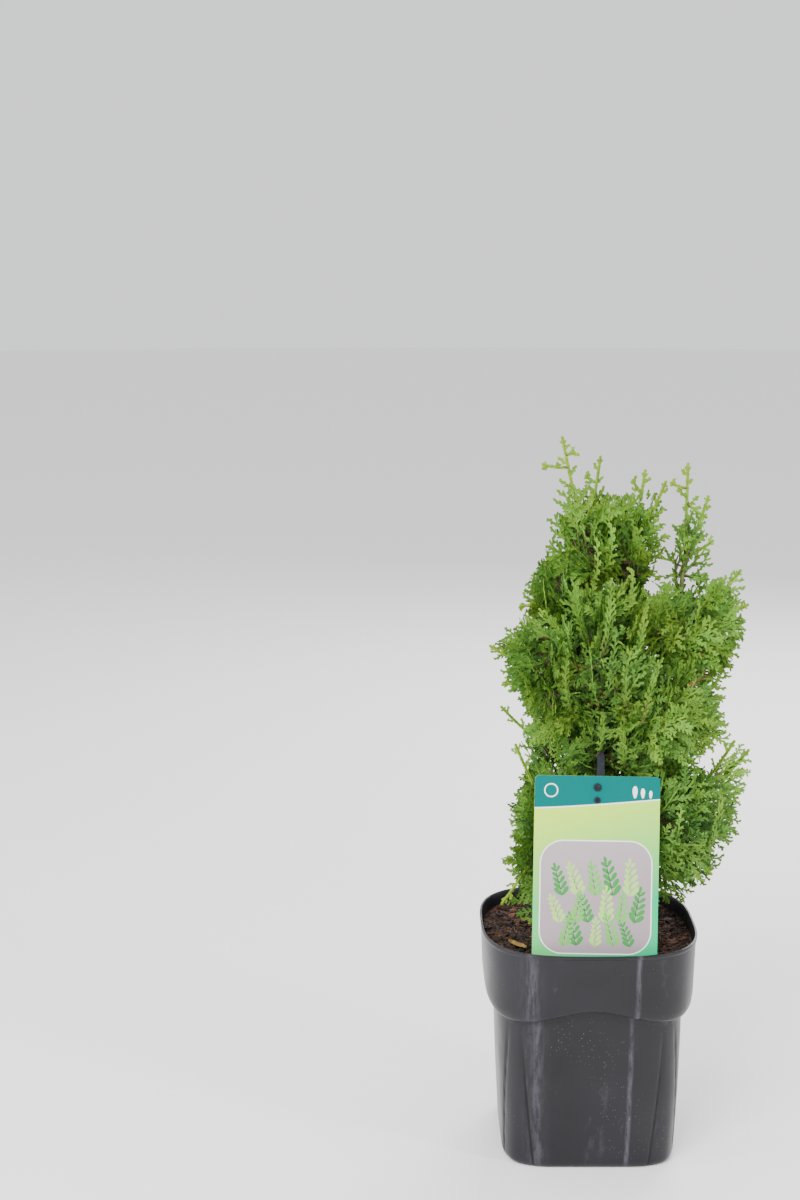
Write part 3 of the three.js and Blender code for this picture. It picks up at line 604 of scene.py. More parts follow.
class Surface:
    """A material and its node tree, with short ways to add nodes."""

    def __init__(self, name, color, roughness):
        self.material = bpy.data.materials.new(name)
        self.material.use_nodes = True
        self.material.diffuse_color = (*color, 1)
        self.tree = self.material.node_tree
        self.shader = self.tree.nodes["Principled BSDF"]
        self.shader.inputs["Base Color"].default_value = (*color, 1)
        self.shader.inputs["Roughness"].default_value = roughness
        self.place = self.tree.nodes.new("ShaderNodeTexCoord").outputs["Object"]

    def add(self, kind, inputs=None, **settings):
        node = self.tree.nodes.new(kind)
        for key, value in settings.items():
            setattr(node, key, value)
        for key, value in (inputs or {}).items():
            self.feed(value, node.inputs[key])
        return node

    def feed(self, value, socket):
        """Links a socket to another, or gives it a plain value."""
        if isinstance(value, bpy.types.NodeSocket):
            self.tree.links.new(value, socket)
        else:
            socket.default_value = value

    def compute(self, operation, *values):
        inputs = dict(enumerate(values))
        return self.add("ShaderNodeMath", inputs, operation=operation).outputs["Value"]

    def split(self, vector):
        """The three parts of a vector."""
        return self.add("ShaderNodeSeparateXYZ", {"Vector": vector}).outputs

    def turn_round_pot(self):
        """The turn of a place round the pot, from 0 at its back to the jump at its front."""
        x, y, _ = self.split(self.place)
        return self.compute("ARCTAN2", x, y)

    def stretched(self, scale):
        """The place on the piece, stretched along the axes."""
        return self.add("ShaderNodeMapping", {"Vector": self.place, "Scale": scale}).outputs["Vector"]

    def noise(self, scale, detail=4.0, roughness=0.55, place=None):
        inputs = {"Vector": place or self.place, "Scale": scale, "Detail": detail, "Roughness": roughness}
        return self.add("ShaderNodeTexNoise", inputs).outputs["Fac"]

    def cells(self, scale, place=None):
        inputs = {"Vector": place or self.place, "Scale": scale}
        return self.add("ShaderNodeTexVoronoi", inputs).outputs["Distance"]

    def ramp(self, value, low, high):
        """The value spread from 0 at low to 1 at high."""
        inputs = {"Value": value, "From Min": low, "From Max": high}
        return self.add("ShaderNodeMapRange", inputs).outputs["Result"]

    def scaled(self, value, low, high):
        """A value from 0 to 1 as one from low to high."""
        inputs = {"Value": value, "To Min": low, "To Max": high}
        return self.add("ShaderNodeMapRange", inputs).outputs["Result"]

    def mix(self, share, first, second):
        node = self.add("ShaderNodeMix", data_type="RGBA")
        sockets = [s for s in node.inputs if s.enabled]
        self.feed(share, sockets[0])
        self.feed(first, sockets[1])
        self.feed(second, sockets[2])
        return next(s for s in node.outputs if s.enabled)

    def color(self, value):
        self.feed(value, self.shader.inputs["Base Color"])

    def rough(self, value):
        self.feed(value, self.shader.inputs["Roughness"])

    def gloss(self, level):
        self.shader.inputs["Specular IOR Level"].default_value = level

    def relief(self, height, depth, strength=1.0):
        """Fine relief of that depth in metres."""
        inputs = {"Height": height, "Strength": strength, "Distance": depth}
        bump = self.add("ShaderNodeBump", inputs)
        last = self.shader.inputs["Normal"]
        if last.is_linked:
            self.feed(last.links[0].from_socket, bump.inputs["Normal"])
        self.feed(bump.outputs["Normal"], last)


def tone(color, factor):
    return (*(min(1.0, c * factor) for c in color), 1.0)


def pot_plastic(settings):
    """Thin dark nursery plastic: slightly wavy, scuffed and dusty, with painted highlights in upright
    strips and painted shade in the creases of the foot.
    """
    base = tuple(settings.plastic_color)
    wear_and_highlight = (*settings.wear_and_highlight_color, 1)
    surface = Surface("pot_plastic", base, 0.34)
    cloud = surface.noise(14, 3)
    body = surface.mix(surface.ramp(cloud, 0.3, 0.7), tone(base, 0.78), tone(base, 1.3))
    scuffs = surface.noise(60, 6, 0.7, surface.stretched((1, 1, 0.35)))
    worn_and_highlit = surface.mix(surface.scaled(surface.ramp(scuffs, 0.6, 0.78), 0.0, 0.22), body, wear_and_highlight)
    # Painted highlights: pale upright strips in the colour of the scuffs
    for turn, half_width, share in PAINTED_HIGHLIGHT_STRIPS:
        worn_and_highlit = surface.mix(painted_highlight_strip(surface, turn, half_width, share), worn_and_highlit, wear_and_highlight)
    specks = surface.ramp(surface.cells(420), 0.16, 0.06)
    dusty_places = surface.ramp(surface.noise(22, 5), 0.5, 0.72)
    dust = surface.compute("MULTIPLY", specks, dusty_places)
    dusty = surface.mix(surface.scaled(dust, 0.0, 0.6), worn_and_highlit, DUST_COLOR)
    surface.color(surface.mix(crease_shade(surface), dusty, tone(base, 0.15)))
    surface.rough(surface.scaled(surface.noise(35, 4), 0.22, 0.42))
    surface.relief(surface.noise(30, 2), 0.0012, 0.5)
    surface.relief(surface.noise(700, 3), 0.00006, 0.6)
    surface.gloss(0.24)
    return surface.material


def crease_shade(surface):
    """Share of shade in the creases beside the corners of the foot."""
    from_corner = surface.turn_round_pot()
    for part in (math.pi / 2, math.pi / 4):
        from_corner = surface.compute("SUBTRACT", surface.compute("ABSOLUTE", from_corner), part)
    from_corner = surface.compute("ABSOLUTE", from_corner)
    height = surface.split(surface.place)["Z"]
    foot_turn, collar_turn = CREASE_TURNS
    slope = (collar_turn - foot_turn) / (COLLAR_EDGE * MM)
    crease = surface.compute("MULTIPLY_ADD", height, slope, foot_turn)
    away = surface.compute("ABSOLUTE", surface.compute("SUBTRACT", from_corner, crease))
    inside = surface.ramp(away, CREASE_HALF_WIDTH * 0.7, CREASE_HALF_WIDTH * 0.25)
    below = surface.ramp(height, FLUTE_TOP * MM, CREASE_DARK_BELOW * MM)
    return surface.scaled(surface.compute("MULTIPLY", inside, below), 0.0, 0.8)


def painted_highlight_strip(surface, turn, half_width, share):
    """Share of painted highlight in an upright strip round the pot, broken up by a fine stretched noise."""
    away = surface.compute("ABSOLUTE", surface.compute("SUBTRACT", surface.turn_round_pot(), turn))
    inside = surface.ramp(away, half_width, half_width * 0.2)
    highlight_breakup = surface.noise(300, 6, 0.75, surface.stretched((1, 1, 0.2)))
    broken = surface.scaled(surface.ramp(highlight_breakup, 0.42, 0.62), 0.1, 1.0)
    return surface.scaled(surface.compute("MULTIPLY", inside, broken), 0.0, share)


def soil_surface(name, color, factor):
    """Moist peat: dark red-brown crumbs and fibres, with painted shade in the hollows of the crumbs and in
    broad patches.
    """
    base = tuple(c * factor for c in color)
    surface = Surface(name, base, 0.92)
    crumbs = surface.noise(420, 8, 0.65)
    fibres = surface.noise(260, 5, 0.6, surface.stretched((1, 3.5, 1)))
    # The peat's own mottling, and painted shade in the hollows of the crumb relief, which share one noise
    dark = surface.mix(surface.ramp(crumbs, 0.35, 0.65), tone(base, 0.22), tone(base, 1.2))
    crumbly = surface.mix(surface.ramp(fibres, 0.58, 0.72), dark, tone(base, 2.4))
    # Broad patches of painted shade, standing in for the shadow of the foliage on the soil
    painted_shade_patches = surface.ramp(surface.noise(48, 3), 0.52, 0.4)
    surface.color(surface.mix(surface.scaled(painted_shade_patches, 0.0, 0.75), crumbly, tone(base, 0.3)))
    surface.relief(crumbs, 0.0012)
    surface.relief(surface.cells(900), 0.0004, 0.7)
    return surface.material


def bark_surface(settings):
    """Stringy bark that peels in long thin strips."""
    base = tuple(settings.bark_color)
    surface = Surface("bark", base, 0.85)
    strips = surface.noise(900, 5, 0.6, surface.stretched((1, 1, 0.12)))
    patches = surface.noise(90, 4)
    light = surface.mix(surface.ramp(strips, 0.35, 0.65), tone(base, 0.45), tone(base, 1.6))
    surface.color(surface.mix(surface.ramp(patches, 0.5, 0.7), light, tone((0.3, 0.2, 0.13), 0.8)))
    surface.relief(strips, 0.0006)
    return surface.material


def twig_surface(settings):
    """Smooth young bark, orange-brown with green patches."""
    base = tuple(settings.twig_color)
    surface = Surface("twig", base, 0.6)
    patches = surface.noise(60, 3)
    green = tone(settings.mid_color, 0.9)
    surface.color(surface.mix(surface.ramp(patches, 0.52, 0.66), tone(base, 0.9), green))
    surface.relief(surface.noise(1500, 2), 0.0002, 0.6)
    return surface.material


def leaf_surface(name, color, roughness=0.6):
    """Tiny overlapping scale leaves: satin and mottled, with fine cells in their relief."""
    base = tuple(color)
    surface = Surface(name, base, roughness)
    mottle = surface.noise(170, 4)
    broad = surface.noise(32, 2)
    near = surface.mix(surface.ramp(mottle, 0.36, 0.64), tone(base, 0.74), tone(base, 1.22))
    yellower = (min(1, base[0] * 1.42), base[1] * 1.05, base[2] * 0.9, 1)
    surface.color(surface.mix(surface.scaled(surface.ramp(broad, 0.42, 0.68), 0, 0.6), near, yellower))
    surface.relief(surface.cells(1300), 0.00025, 0.8)
    surface.gloss(0.12)
    return surface.material


def print_surface(name, color, end_color=None):
    """Print on coated plastic card, a plain colour or one that fades over the card."""
    surface = Surface(name, tuple(color), 0.34)
    if end_color is not None:
        across, up, _ = surface.split(surface.add("ShaderNodeUVMap", uv_map="card").outputs["UV"])
        down = surface.ramp(up, 0.86, 0.3)
        right = surface.compute("MULTIPLY", surface.ramp(across, 0.0, 1.0), 0.35)
        fade = surface.ramp(surface.compute("ADD", down, right), 0.0, 1.25)
        surface.color(surface.mix(fade, (*color, 1), (*end_color, 1)))
    surface.relief(surface.noise(900, 2), 0.00002, 0.5)
    surface.gloss(0.06)
    return surface.material


def stick_plastic(settings):
    """Dark blue-grey moulded plastic with a little dust."""
    base = tuple(settings.stick_color)
    surface = Surface("stick_plastic", base, 0.42)
    dust = surface.ramp(surface.noise(300, 5), 0.56, 0.75)
    surface.color(surface.mix(surface.scaled(dust, 0, 0.12), tone(base, 1), (0.25, 0.24, 0.23, 1)))
    surface.relief(surface.noise(800, 2), 0.00005, 0.6)
    surface.gloss(0.15)
    return surface.material


# Pot and soil


def plan_factor(angle, height):
    """How far the pot's plan stands out, against a circle of its half width: squarer at the foot."""
    up = np.clip(height / COLLAR_EDGE, 0, 1)
    squareness = FOOT_SQUARENESS + (POT_SQUARENESS - FOOT_SQUARENESS) * up
    across = np.abs(np.cos(angle)) ** squareness
    along = np.abs(np.sin(angle)) ** squareness
    return (across + along) ** (-1 / squareness)


def turn_from_corner(angle):
    """The angle between a direction and the nearest corner of the pot."""
    return np.abs((np.abs(angle) % (math.pi / 2)) - math.pi / 4)


def crease_depth(angle, height):
    """The two creases at each corner that part it from the sides, closing up towards the collar."""
    up = np.clip(height / COLLAR_EDGE, 0, 1)
    foot_turn, collar_turn = CREASE_TURNS
    away = np.abs(turn_from_corner(angle) - foot_turn - (collar_turn - foot_turn) * up)
    fade = np.clip((CREASE_TOP - height) / CREASE_FADE, 0, 1)
    return CREASE_DEPTH * np.clip(1 - away / CREASE_HALF_WIDTH, 0, 1) * fade


def flute_depth(angle, height):
    """The flute that sets each corner of the foot back, fading out below the collar."""
    from_corner = turn_from_corner(angle)
    shape = np.exp(-((from_corner / FLUTE_HALF_ANGLE) ** FLUTE_SHARPNESS))
    return FLUTE_DEPTH * shape * np.clip(1 - height / FLUTE_TOP, 0, 1)


def wave_lift(angle, height):
    """The collar's lower edge rises at the middle of each side."""
    low = np.clip(height / COLLAR_EDGE, 0, 1) ** 2
    high = np.clip((POT_HEIGHT - height) / (POT_HEIGHT - COLLAR_EDGE - COLLAR_WAVE_FADE), 0, 1)
    return COLLAR_WAVE * np.cos(2 * angle) ** 2 * np.minimum(low, high)


def press_to_plan(piece, level_from=POT_HEIGHT + COLLAR_WAVE):
    """Presses a round turning to the pot's rounded square plan, with its flutes and waves.

    What lies above the height given stays level.
    """
    co = np.empty(len(piece.data.vertices) * 3, np.float32)
    piece.data.vertices.foreach_get("co", co)
    x, y, z = (co.reshape(-1, 3) / MM).T
    half_width = np.hypot(x, y)
    angle = np.arctan2(y, x)
    share = np.minimum(1, (half_width / POT_FOOT_HALF_WIDTH) ** 3)
    wall = POT_FOOT_HALF_WIDTH + (POT_BODY_HALF_WIDTH - POT_FOOT_HALF_WIDTH) * z / COLLAR_EDGE
    outside = half_width > wall - POT_WALL / 2
    radius = half_width * plan_factor(angle, z) - flute_depth(angle, z) * share
    radius -= np.where(outside, crease_depth(angle, z), 0)
    level = (half_width < SOIL_EDGE) & (z > COLLAR_EDGE + 2) | (z > level_from)
    lift = np.where(level, 0, wave_lift(angle, z))
    radius = np.maximum(radius, 0)
    placed = np.stack([radius * np.cos(angle), radius * np.sin(angle), z + lift], axis=1) * MM
    piece.data.vertices.foreach_set("co", placed.astype(np.float32).ravel())
    piece.data.update()


def smooth_profile(profile, step):
    """A profile with points added on its long straight stretches."""
    points = [profile[0]]
    for (r0, z0), (r1, z1) in zip(profile, profile[1:]):
        pieces = max(1, round(math.hypot(r1 - r0, z1 - z0) / step))
        points += [(r0 + (r1 - r0) * k / pieces, z0 + (z1 - z0) * k / pieces) for k in range(1, pieces + 1)]
    return points


def turn_profile(profile):
    """A ring at the profile's first point, extruded and resized from point to point, then closed."""
    radius, height = profile[0]
    piece = add_object(
        bpy.ops.mesh.primitive_circle_add,
        vertices=POT_SIDES, radius=radius * MM, fill_type="NOTHING", location=(0, 0, height * MM),
    )
    bpy.ops.object.transform_apply(location=True, rotation=True, scale=True)
    begin_edit()
    bpy.ops.mesh.edge_face_add()
    bpy.ops.mesh.select_all(action="SELECT")
    for next_radius, next_height in profile[1:]:
        move = {"value": (0, 0, (next_height - height) * MM)}
        bpy.ops.mesh.extrude_edges_move(TRANSFORM_OT_translate=move)
        ratio = next_radius / radius
        bpy.ops.transform.resize(value=(ratio, ratio, 1), center_override=(0, 0, next_height * MM))
        radius, height = next_radius, next_height
    bpy.ops.mesh.edge_face_add()
    outward_normals()
    end_edit()
    return piece


def inner_profile(top, inset):
    """Inner face of the wall from the floor to the height given, inset by a clearance."""
    wall = POT_WALL + inset
    collar_foot = COLLAR_EDGE + COLLAR_ROUNDING + POT_WALL
    up_collar = (top - collar_foot) / (POT_HEIGHT - collar_foot)
    rim = POT_COLLAR_HALF_WIDTH + (POT_HALF_WIDTH - POT_COLLAR_HALF_WIDTH) * up_collar
    return [
        (POT_FOOT_HALF_WIDTH - wall - 2, POT_FLOOR + min(inset, 0.3)),
        (POT_FOOT_HALF_WIDTH - wall, POT_FLOOR + 3),
        ((POT_FOOT_HALF_WIDTH + POT_BODY_HALF_WIDTH) / 2 - wall, COLLAR_EDGE / 2),
        (POT_BODY_HALF_WIDTH - wall, COLLAR_EDGE),
        (POT_COLLAR_HALF_WIDTH - wall, collar_foot),
        (rim - wall, top),
    ]


def cut_drain_holes(piece):
    """Drills the ring of drain holes through the floor."""
    drills = []
    for i in range(DRAIN_COUNT):
        angle = i * 2 * math.pi / DRAIN_COUNT
        place = (DRAIN_CIRCLE * MM * math.cos(angle), DRAIN_CIRCLE * MM * math.sin(angle), POT_FLOOR * MM)
        drills.append(add_object(
            bpy.ops.mesh.primitive_cylinder_add,
            vertices=24, radius=DRAIN_RADIUS * MM, depth=4 * POT_FLOOR * MM, location=place,
        ))
    activate(piece)
    for drill in drills:
        apply_modifier(piece, "BOOLEAN", operation="DIFFERENCE", solver="EXACT", object=drill)
        bpy.data.objects.remove(drill)


def make_pot(settings):
    """The pot, turned from its profile, pressed to its plan and drilled."""
    outer = [
        (POT_FOOT_HALF_WIDTH - 4.4, 0),
        (POT_FOOT_HALF_WIDTH - 3.5, 0),
        (POT_FOOT_HALF_WIDTH - 2.1, 0.4),
        (POT_FOOT_HALF_WIDTH - 0.8, 1.6),
        (POT_FOOT_HALF_WIDTH - 0.1, 3.4),
        (POT_FOOT_HALF_WIDTH + 0.1, 5),
        (POT_FOOT_HALF_WIDTH + 2.4, 45),
        (POT_BODY_HALF_WIDTH, COLLAR_EDGE - 0.7),
        (POT_BODY_HALF_WIDTH + 0.5, COLLAR_EDGE),
        (POT_COLLAR_HALF_WIDTH - 2.7, COLLAR_EDGE + 0.5),
        (POT_COLLAR_HALF_WIDTH - 1.4, COLLAR_EDGE + 1.4),
        (POT_COLLAR_HALF_WIDTH - 0.5, COLLAR_EDGE + 3.2),
        (POT_COLLAR_HALF_WIDTH, COLLAR_EDGE + COLLAR_ROUNDING),
        (POT_HALF_WIDTH - 0.7, POT_HEIGHT - 3.2),
        (POT_HALF_WIDTH - 0.1, POT_HEIGHT - 2.4),
        (POT_HALF_WIDTH, POT_HEIGHT - 1.0),
        (POT_HALF_WIDTH - 0.2, POT_HEIGHT - 0.25),
        (POT_HALF_WIDTH - 0.7, POT_HEIGHT),
        (POT_HALF_WIDTH - 1.3, POT_HEIGHT - 0.1),
    ]
    inner = inner_profile(POT_HEIGHT - 0.7, 0)[::-1]
    piece = turn_profile(smooth_profile(outer + inner, PROFILE_STEP))
    press_to_plan(piece)
    cut_drain_holes(piece)
    shade_smooth(38)
    return finish_piece(piece, "pot_shell", pot_plastic(settings), ["pot"])


def soil_level(x, y):
    """The settled height of the soil without its lumps."""
    radius = math.hypot(x, y)
    if radius > SOIL_DIP_RADIUS:
        rise = min(1, (radius - SOIL_DIP_RADIUS) / SOIL_RISE_WIDTH)
        return SOIL_TOP - SOIL_DIP + (SOIL_DIP - SOIL_RIM_DIP) * rise
    return SOIL_TOP - SOIL_DIP * min(1, radius / SOIL_DIP_RADIUS)


def soil_lumps(x, y, relief):
    """Height of the lumps in the soil at a place."""
    parts = (share * noise.noise(Vector((x / size, y / size, cut))) for size, cut, share in SOIL_LUMPS)
    return relief * sum(parts)


def make_soil_body(settings, relief):
    """The settled fill, lumpy on top."""
    rim = inner_profile(SOIL_TOP, SOIL_SETTLING)
    radii = [rim[-1][0] * (1 - k / SOIL_RINGS) for k in range(1, SOIL_RINGS)]
    top = [(radius, soil_level(radius, 0)) for radius in radii]
    piece = turn_profile(smooth_profile(rim, SOIL_PROFILE_STEP) + top)
    press_to_plan(piece, SOIL_LEVEL_FROM)
    for vertex in piece.data.vertices:
        x, y, z = vertex.co / MM
        if z > SOIL_LEVEL_FROM - 1:
            fade = min(1.0, max(LEAST_LUMPS, (LUMPS_END - math.hypot(x, y)) / LUMPS_FADE))
            vertex.co.z += soil_lumps(x, y, relief) * fade * MM
    shade_smooth(60)
    material = soil_surface("soil", settings.soil_color, 1.0)
    return finish_piece(piece, "soil_fill", material, ["soil"])


def soil_places(count, rng):
    """Seeded places on the soil, clear of the wall and the trunk."""
    foot_x, foot_y, _ = LIMBS["trunk"]["points"][0]
    places = []
    while len(places) < count:
        x, y = rng.uniform(-BITS_SPAN, BITS_SPAN, 2)
        outside = math.hypot(x, y) > BITS_REACH * plan_factor(math.atan2(y, x), SOIL_TOP)
        if not outside and math.hypot(x - foot_x, y - foot_y) >= TRUNK_CLEARANCE:
            places.append((x, y))
    return places


def prism_faces(count):
    """Triangles of a closed prism: its upper ring comes first, its lower ring, then their middles."""
    faces = []
    for k in range(count):
        n = (k + 1) % count
        faces += [(k, n, 2 * count), (count + n, count + k, 2 * count + 1)]
        faces += [(k, count + k, count + n), (k, count + n, n)]
    return np.array(faces)


def chip_arrays(places, sizes, rng, relief):
    """Irregular flat chips: a bent six-sided flake each."""
    pattern = prism_faces(CHIP_SIDES)
    corners, faces = [], []
    for (x, y), size in zip(places, sizes):
        turn = rng.uniform(0, 2 * math.pi)
        level = soil_level(x, y) + soil_lumps(x, y, relief) + 0.18 * size
        tilt = rng.normal(0, 0.35, 2)
        ring = []
        for k in range(CHIP_SIDES):
            angle = turn + k * 2 * math.pi / CHIP_SIDES
            reach = size * rng.uniform(0.6, 1.1)
            dx, dy = reach * math.cos(angle), 0.62 * reach * math.sin(angle)
            ring.append((x + dx, y + dy, level + tilt[0] * dx + tilt[1] * dy))
        faces.append(pattern + len(corners))
        corners += [(px, py, pz + 0.22 * size) for px, py, pz in ring]
        corners += [(px, py, pz - 0.22 * size) for px, py, pz in ring]
        corners += [(x, y, level + 0.4 * size), (x, y, level - 0.4 * size)]
    return np.array(corners), np.vstack(faces)


def fibre_arrays(places, rng, relief):
    """Thin bent fibres and rootlets lying on the soil."""
    corners, faces = [], []
    for x, y in places:
        length = rng.uniform(*FIBRE_LENGTHS)
        turn = rng.uniform(0, 2 * math.pi)
        bend = rng.normal(0, 0.35)
        width = rng.uniform(*FIBRE_WIDTHS)
        base = len(corners)
        for k in range(FIBRE_STEPS + 1):
            heading = turn + bend * k
            x += length / FIBRE_STEPS * math.cos(heading)
            y += length / FIBRE_STEPS * math.sin(heading)
            arch = 0.9 * math.sin(math.pi * k / FIBRE_STEPS)
            level = soil_level(x, y) + soil_lumps(x, y, relief) + 0.5 + arch
            side = (-math.sin(heading) * width, math.cos(heading) * width)
            corners += [(x + side[0], y + side[1], level), (x - side[0], y - side[1], level)]
            corners += [(x, y, level + 1.2 * width)]
        for k in range(FIBRE_STEPS):
            a = base + 3 * k
            for i, j in ((0, 1), (1, 2), (2, 0)):
                faces += [(a + i, a + 3 + i, a + 3 + j), (a + i, a + 3 + j, a + j)]
    return np.array(corners), np.array(faces)


def keep_inside_pot(corners):
    """Draws corners that would reach the wall back to it."""
    angle = np.arctan2(corners[:, 1], corners[:, 0])
    radius = np.hypot(corners[:, 0], corners[:, 1])
    most = BITS_LIMIT * plan_factor(angle, SOIL_TOP)
    share = np.minimum(1, most / np.maximum(radius, 1e-6))
    corners[:, :2] *= share[:, None]
    return corners


def make_soil_bits(settings, relief):
    """Chips of three tones, and fibres of two."""
    rng = np.random.default_rng(SEED)
    for name, factor, share in CHIP_KINDS:
        count = round(settings.bits * share)
        sizes = np.clip(rng.lognormal(*CHIP_SIZE_SPREAD, count), *CHIP_SIZES)
        corners, faces = chip_arrays(soil_places(count, rng), sizes, rng, relief)
        piece = array_mesh(name, keep_inside_pot(corners), faces, smooth=False)
        finish_piece(piece, name, soil_surface(name, settings.soil_color, factor))
    for name, factor, count in FIBRE_KINDS:
        corners, faces = fibre_arrays(soil_places(count, rng), rng, relief)
        piece = array_mesh(name, keep_inside_pot(corners), faces)
        finish_piece(piece, name, soil_surface(name, settings.soil_color, factor))


def make_dry_leaf(settings, relief):
    """A curled yellow leaf that lies on the soil near the rim."""
    leaf = add_object(bpy.ops.mesh.primitive_grid_add, x_subdivisions=12, y_subdivisions=6, size=MM)
    length, width = DRY_LEAF_SIZE
    for vertex in leaf.data.vertices:
        along, side = vertex.co.x / MM, vertex.co.y / MM
        narrowing = max(0.02, 1 - (2 * along) ** 2) ** 0.6
        lift = 5 * side ** 2 + 2.4 * along ** 2 + 0.5 * noise.noise(Vector((along * 6, side * 5, 2)))
        vertex.co = Vector((along * length, side * width * narrowing, lift)) * MM
    apply_modifier(leaf, "SOLIDIFY", thickness=0.25 * MM)
    x, y = DRY_LEAF_PLACE
    place = Vector((x, y, soil_level(x, y) + soil_lumps(x, y, relief) + DRY_LEAF_LIFT)) * MM
    leaf.data.transform(Matrix.Translation(place) @ Matrix.Rotation(DRY_LEAF_TURN, 4, "Z"))
    shade_smooth(50)
    finish_piece(leaf, "soil_dry_leaf", soil_surface("dry_leaf", settings.dry_leaf_color, 1.0))


# Label


def label_frame():
    """The frame of the card: its foot in the soil, X across it, Y up its slope, Z out of its face."""
    place = Matrix.Translation(Vector(CARD_FOOT) * MM)
    return place @ Matrix.Rotation(math.pi / 2 - CARD_LEAN, 4, "X") @ Matrix.Rotation(CARD_TURN, 4, "Z")


def set_on_card(piece):
    """Moves a piece modelled flat, with its foot at the origin, to its place on the card."""
    piece.data.transform(label_frame())
    piece.data.update()


def thin_shape(name, outline, low, high, material):
    """A flat closed outline on the card, from one height above its back to another, in millimetres."""
    piece = add_object(
        bpy.ops.mesh.primitive_circle_add,
        vertices=len(outline), radius=MM, fill_type="NGON", location=(0, 0, 0),
    )
    for vertex, (x, y) in zip(piece.data.vertices, outline):
        vertex.co = (x * MM, y * MM, low * MM)
    begin_edit("FACE")
    bpy.ops.mesh.extrude_region_move(TRANSFORM_OT_translate={"value": (0, 0, (high - low) * MM)})
    select_verts(piece, lambda co: abs(co.z - low * MM) < 1e-6)
    bpy.ops.mesh.edge_face_add()
    end_edit()
    begin_edit("FACE")
    bpy.ops.mesh.quads_convert_to_tris()
    outward_normals()
    end_edit()
    add_card_uv(piece)
    set_on_card(piece)
    return finish_piece(piece, name, material)


def print_shape(name, outline, material):
    """A printed shape, as high above the card's face as its layer."""
    low, high = LAYERS[name]
    return thin_shape(name, outline, CARD_THICKNESS + low, CARD_THICKNESS + high, material)


def add_card_uv(piece):
    """A UV map that runs from 0 to 1 across the card and up it."""
    layer = piece.data.uv_layers.new(name="card")
    for loop in piece.data.loops:
        co = piece.data.vertices[loop.vertex_index].co
        layer.data[loop.index].uv = (co.x / (CARD_WIDTH * MM) + 0.5, co.y / (CARD_LENGTH * MM))


def rounded_rectangle(box, corner, steps=6, inset=0):
    """Outline of a rectangle with rounded corners, or of one set in from it."""
    left, bottom, right, top = box
    centres = [
        (right - corner, top - corner, 0),
        (left + corner, top - corner, math.pi / 2),
        (left + corner, bottom + corner, math.pi),
        (right - corner, bottom + corner, 1.5 * math.pi),
    ]
    radius = corner - inset
    return [
        (x + radius * math.cos(start + k * math.pi / (2 * steps)),
         y + radius * math.sin(start + k * math.pi / (2 * steps)))
        for x, y, start in centres
        for k in range(steps + 1)
    ]


def band_edge(x):
    """Height of the band's lower edge, which curves up to the right."""
    share = x / CARD_WIDTH + 0.5
    return CARD_LENGTH - BAND_DROP + BAND_RISE * share ** BAND_CURVE


def prism_arrays(outline, low, high):
    """Corners and triangles of a thin closed shape on the card, from an outline round its middle."""
    ring = np.array(outline)
    middle = ring.mean(axis=0)
    corners = [(x, y, high) for x, y in ring] + [(x, y, low) for x, y in ring]
    corners += [(*middle, high), (*middle, low)]
    return np.array(corners), prism_faces(len(ring))


def print_motif(name, outlines, material):
    """Many small printed shapes of one colour, joined."""
    low, high = (CARD_THICKNESS + height for height in LAYERS[name])
    parts = [prism_arrays(counterclockwise(outline), low, high) for outline in outlines]
    piece = array_mesh(name, *join_arrays(parts), smooth=False)
    add_card_uv(piece)
    set_on_card(piece)
    return finish_piece(piece, name, material)


def leaf_outline(foot, direction, size, width=0.2):
    """A plain pointed oval leaf with its foot at a point, growing in a direction in radians."""
    points = []
    for k in range(14):
        angle = 2 * math.pi * k / 14
        along = size * (1 - math.cos(angle)) / 2
        side = width * size * math.sin(angle) * (1 - 0.25 * math.cos(angle))
        c, s = math.cos(direction), math.sin(direction)
        points.append((foot[0] + along * c - side * s, foot[1] + along * s + side * c))
    return points


def sprig_outlines(foot, lean, length):
    """Leaves of a plain sprig on a thin stem: they shrink towards its tip, where one stands alone."""

    def along_stem(share, bend):
        return (foot[0] + length * share * math.cos(bend), foot[1] + length * share * math.sin(bend))

    tip_lean = lean + SPRIG_BEND
    leaves = [leaf_outline(foot, tip_lean, length, 0.018)]
    for k in range(SPRIG_PAIRS):
        share = (k + 0.4) / SPRIG_PAIRS
        bend = lean + SPRIG_BEND * share
        size = length * (0.36 - 0.16 * share)
        for turn in (0.7, -0.7):
            leaves.append(leaf_outline(along_stem(share, bend), bend + turn, size))
    leaves.append(leaf_outline(along_stem(0.96, tip_lean), tip_lean, length * 0.22))
    return leaves


def counterclockwise(outline):
    """The outline, turned round if it runs clockwise."""
    ring = np.array(outline)
    x, y = ring[:, 0], ring[:, 1]
    area = (x * np.roll(y, -1) - np.roll(x, -1) * y).sum()
    return outline if area > 0 else outline[::-1]


def panel_sprigs():
    """Sprigs of three greens that fill the picture panel, each row a little lower than the last."""
    rng = np.random.default_rng(SEED)
    groups = ([], [], [])
    for row, (level, count) in enumerate(SPRIG_ROWS):
        for k in range(count):
            x = SPRIG_SPAN * ((k + 0.5) / count - 0.5) + rng.uniform(-1.5, 1.5)
            lean = math.pi / 2 + rng.uniform(-0.4, 0.3)
            length = rng.uniform(19, 24) - 1.5 * row
            groups[(k + row) % 3].extend(sprig_outlines((x, level), lean, length))
    return groups


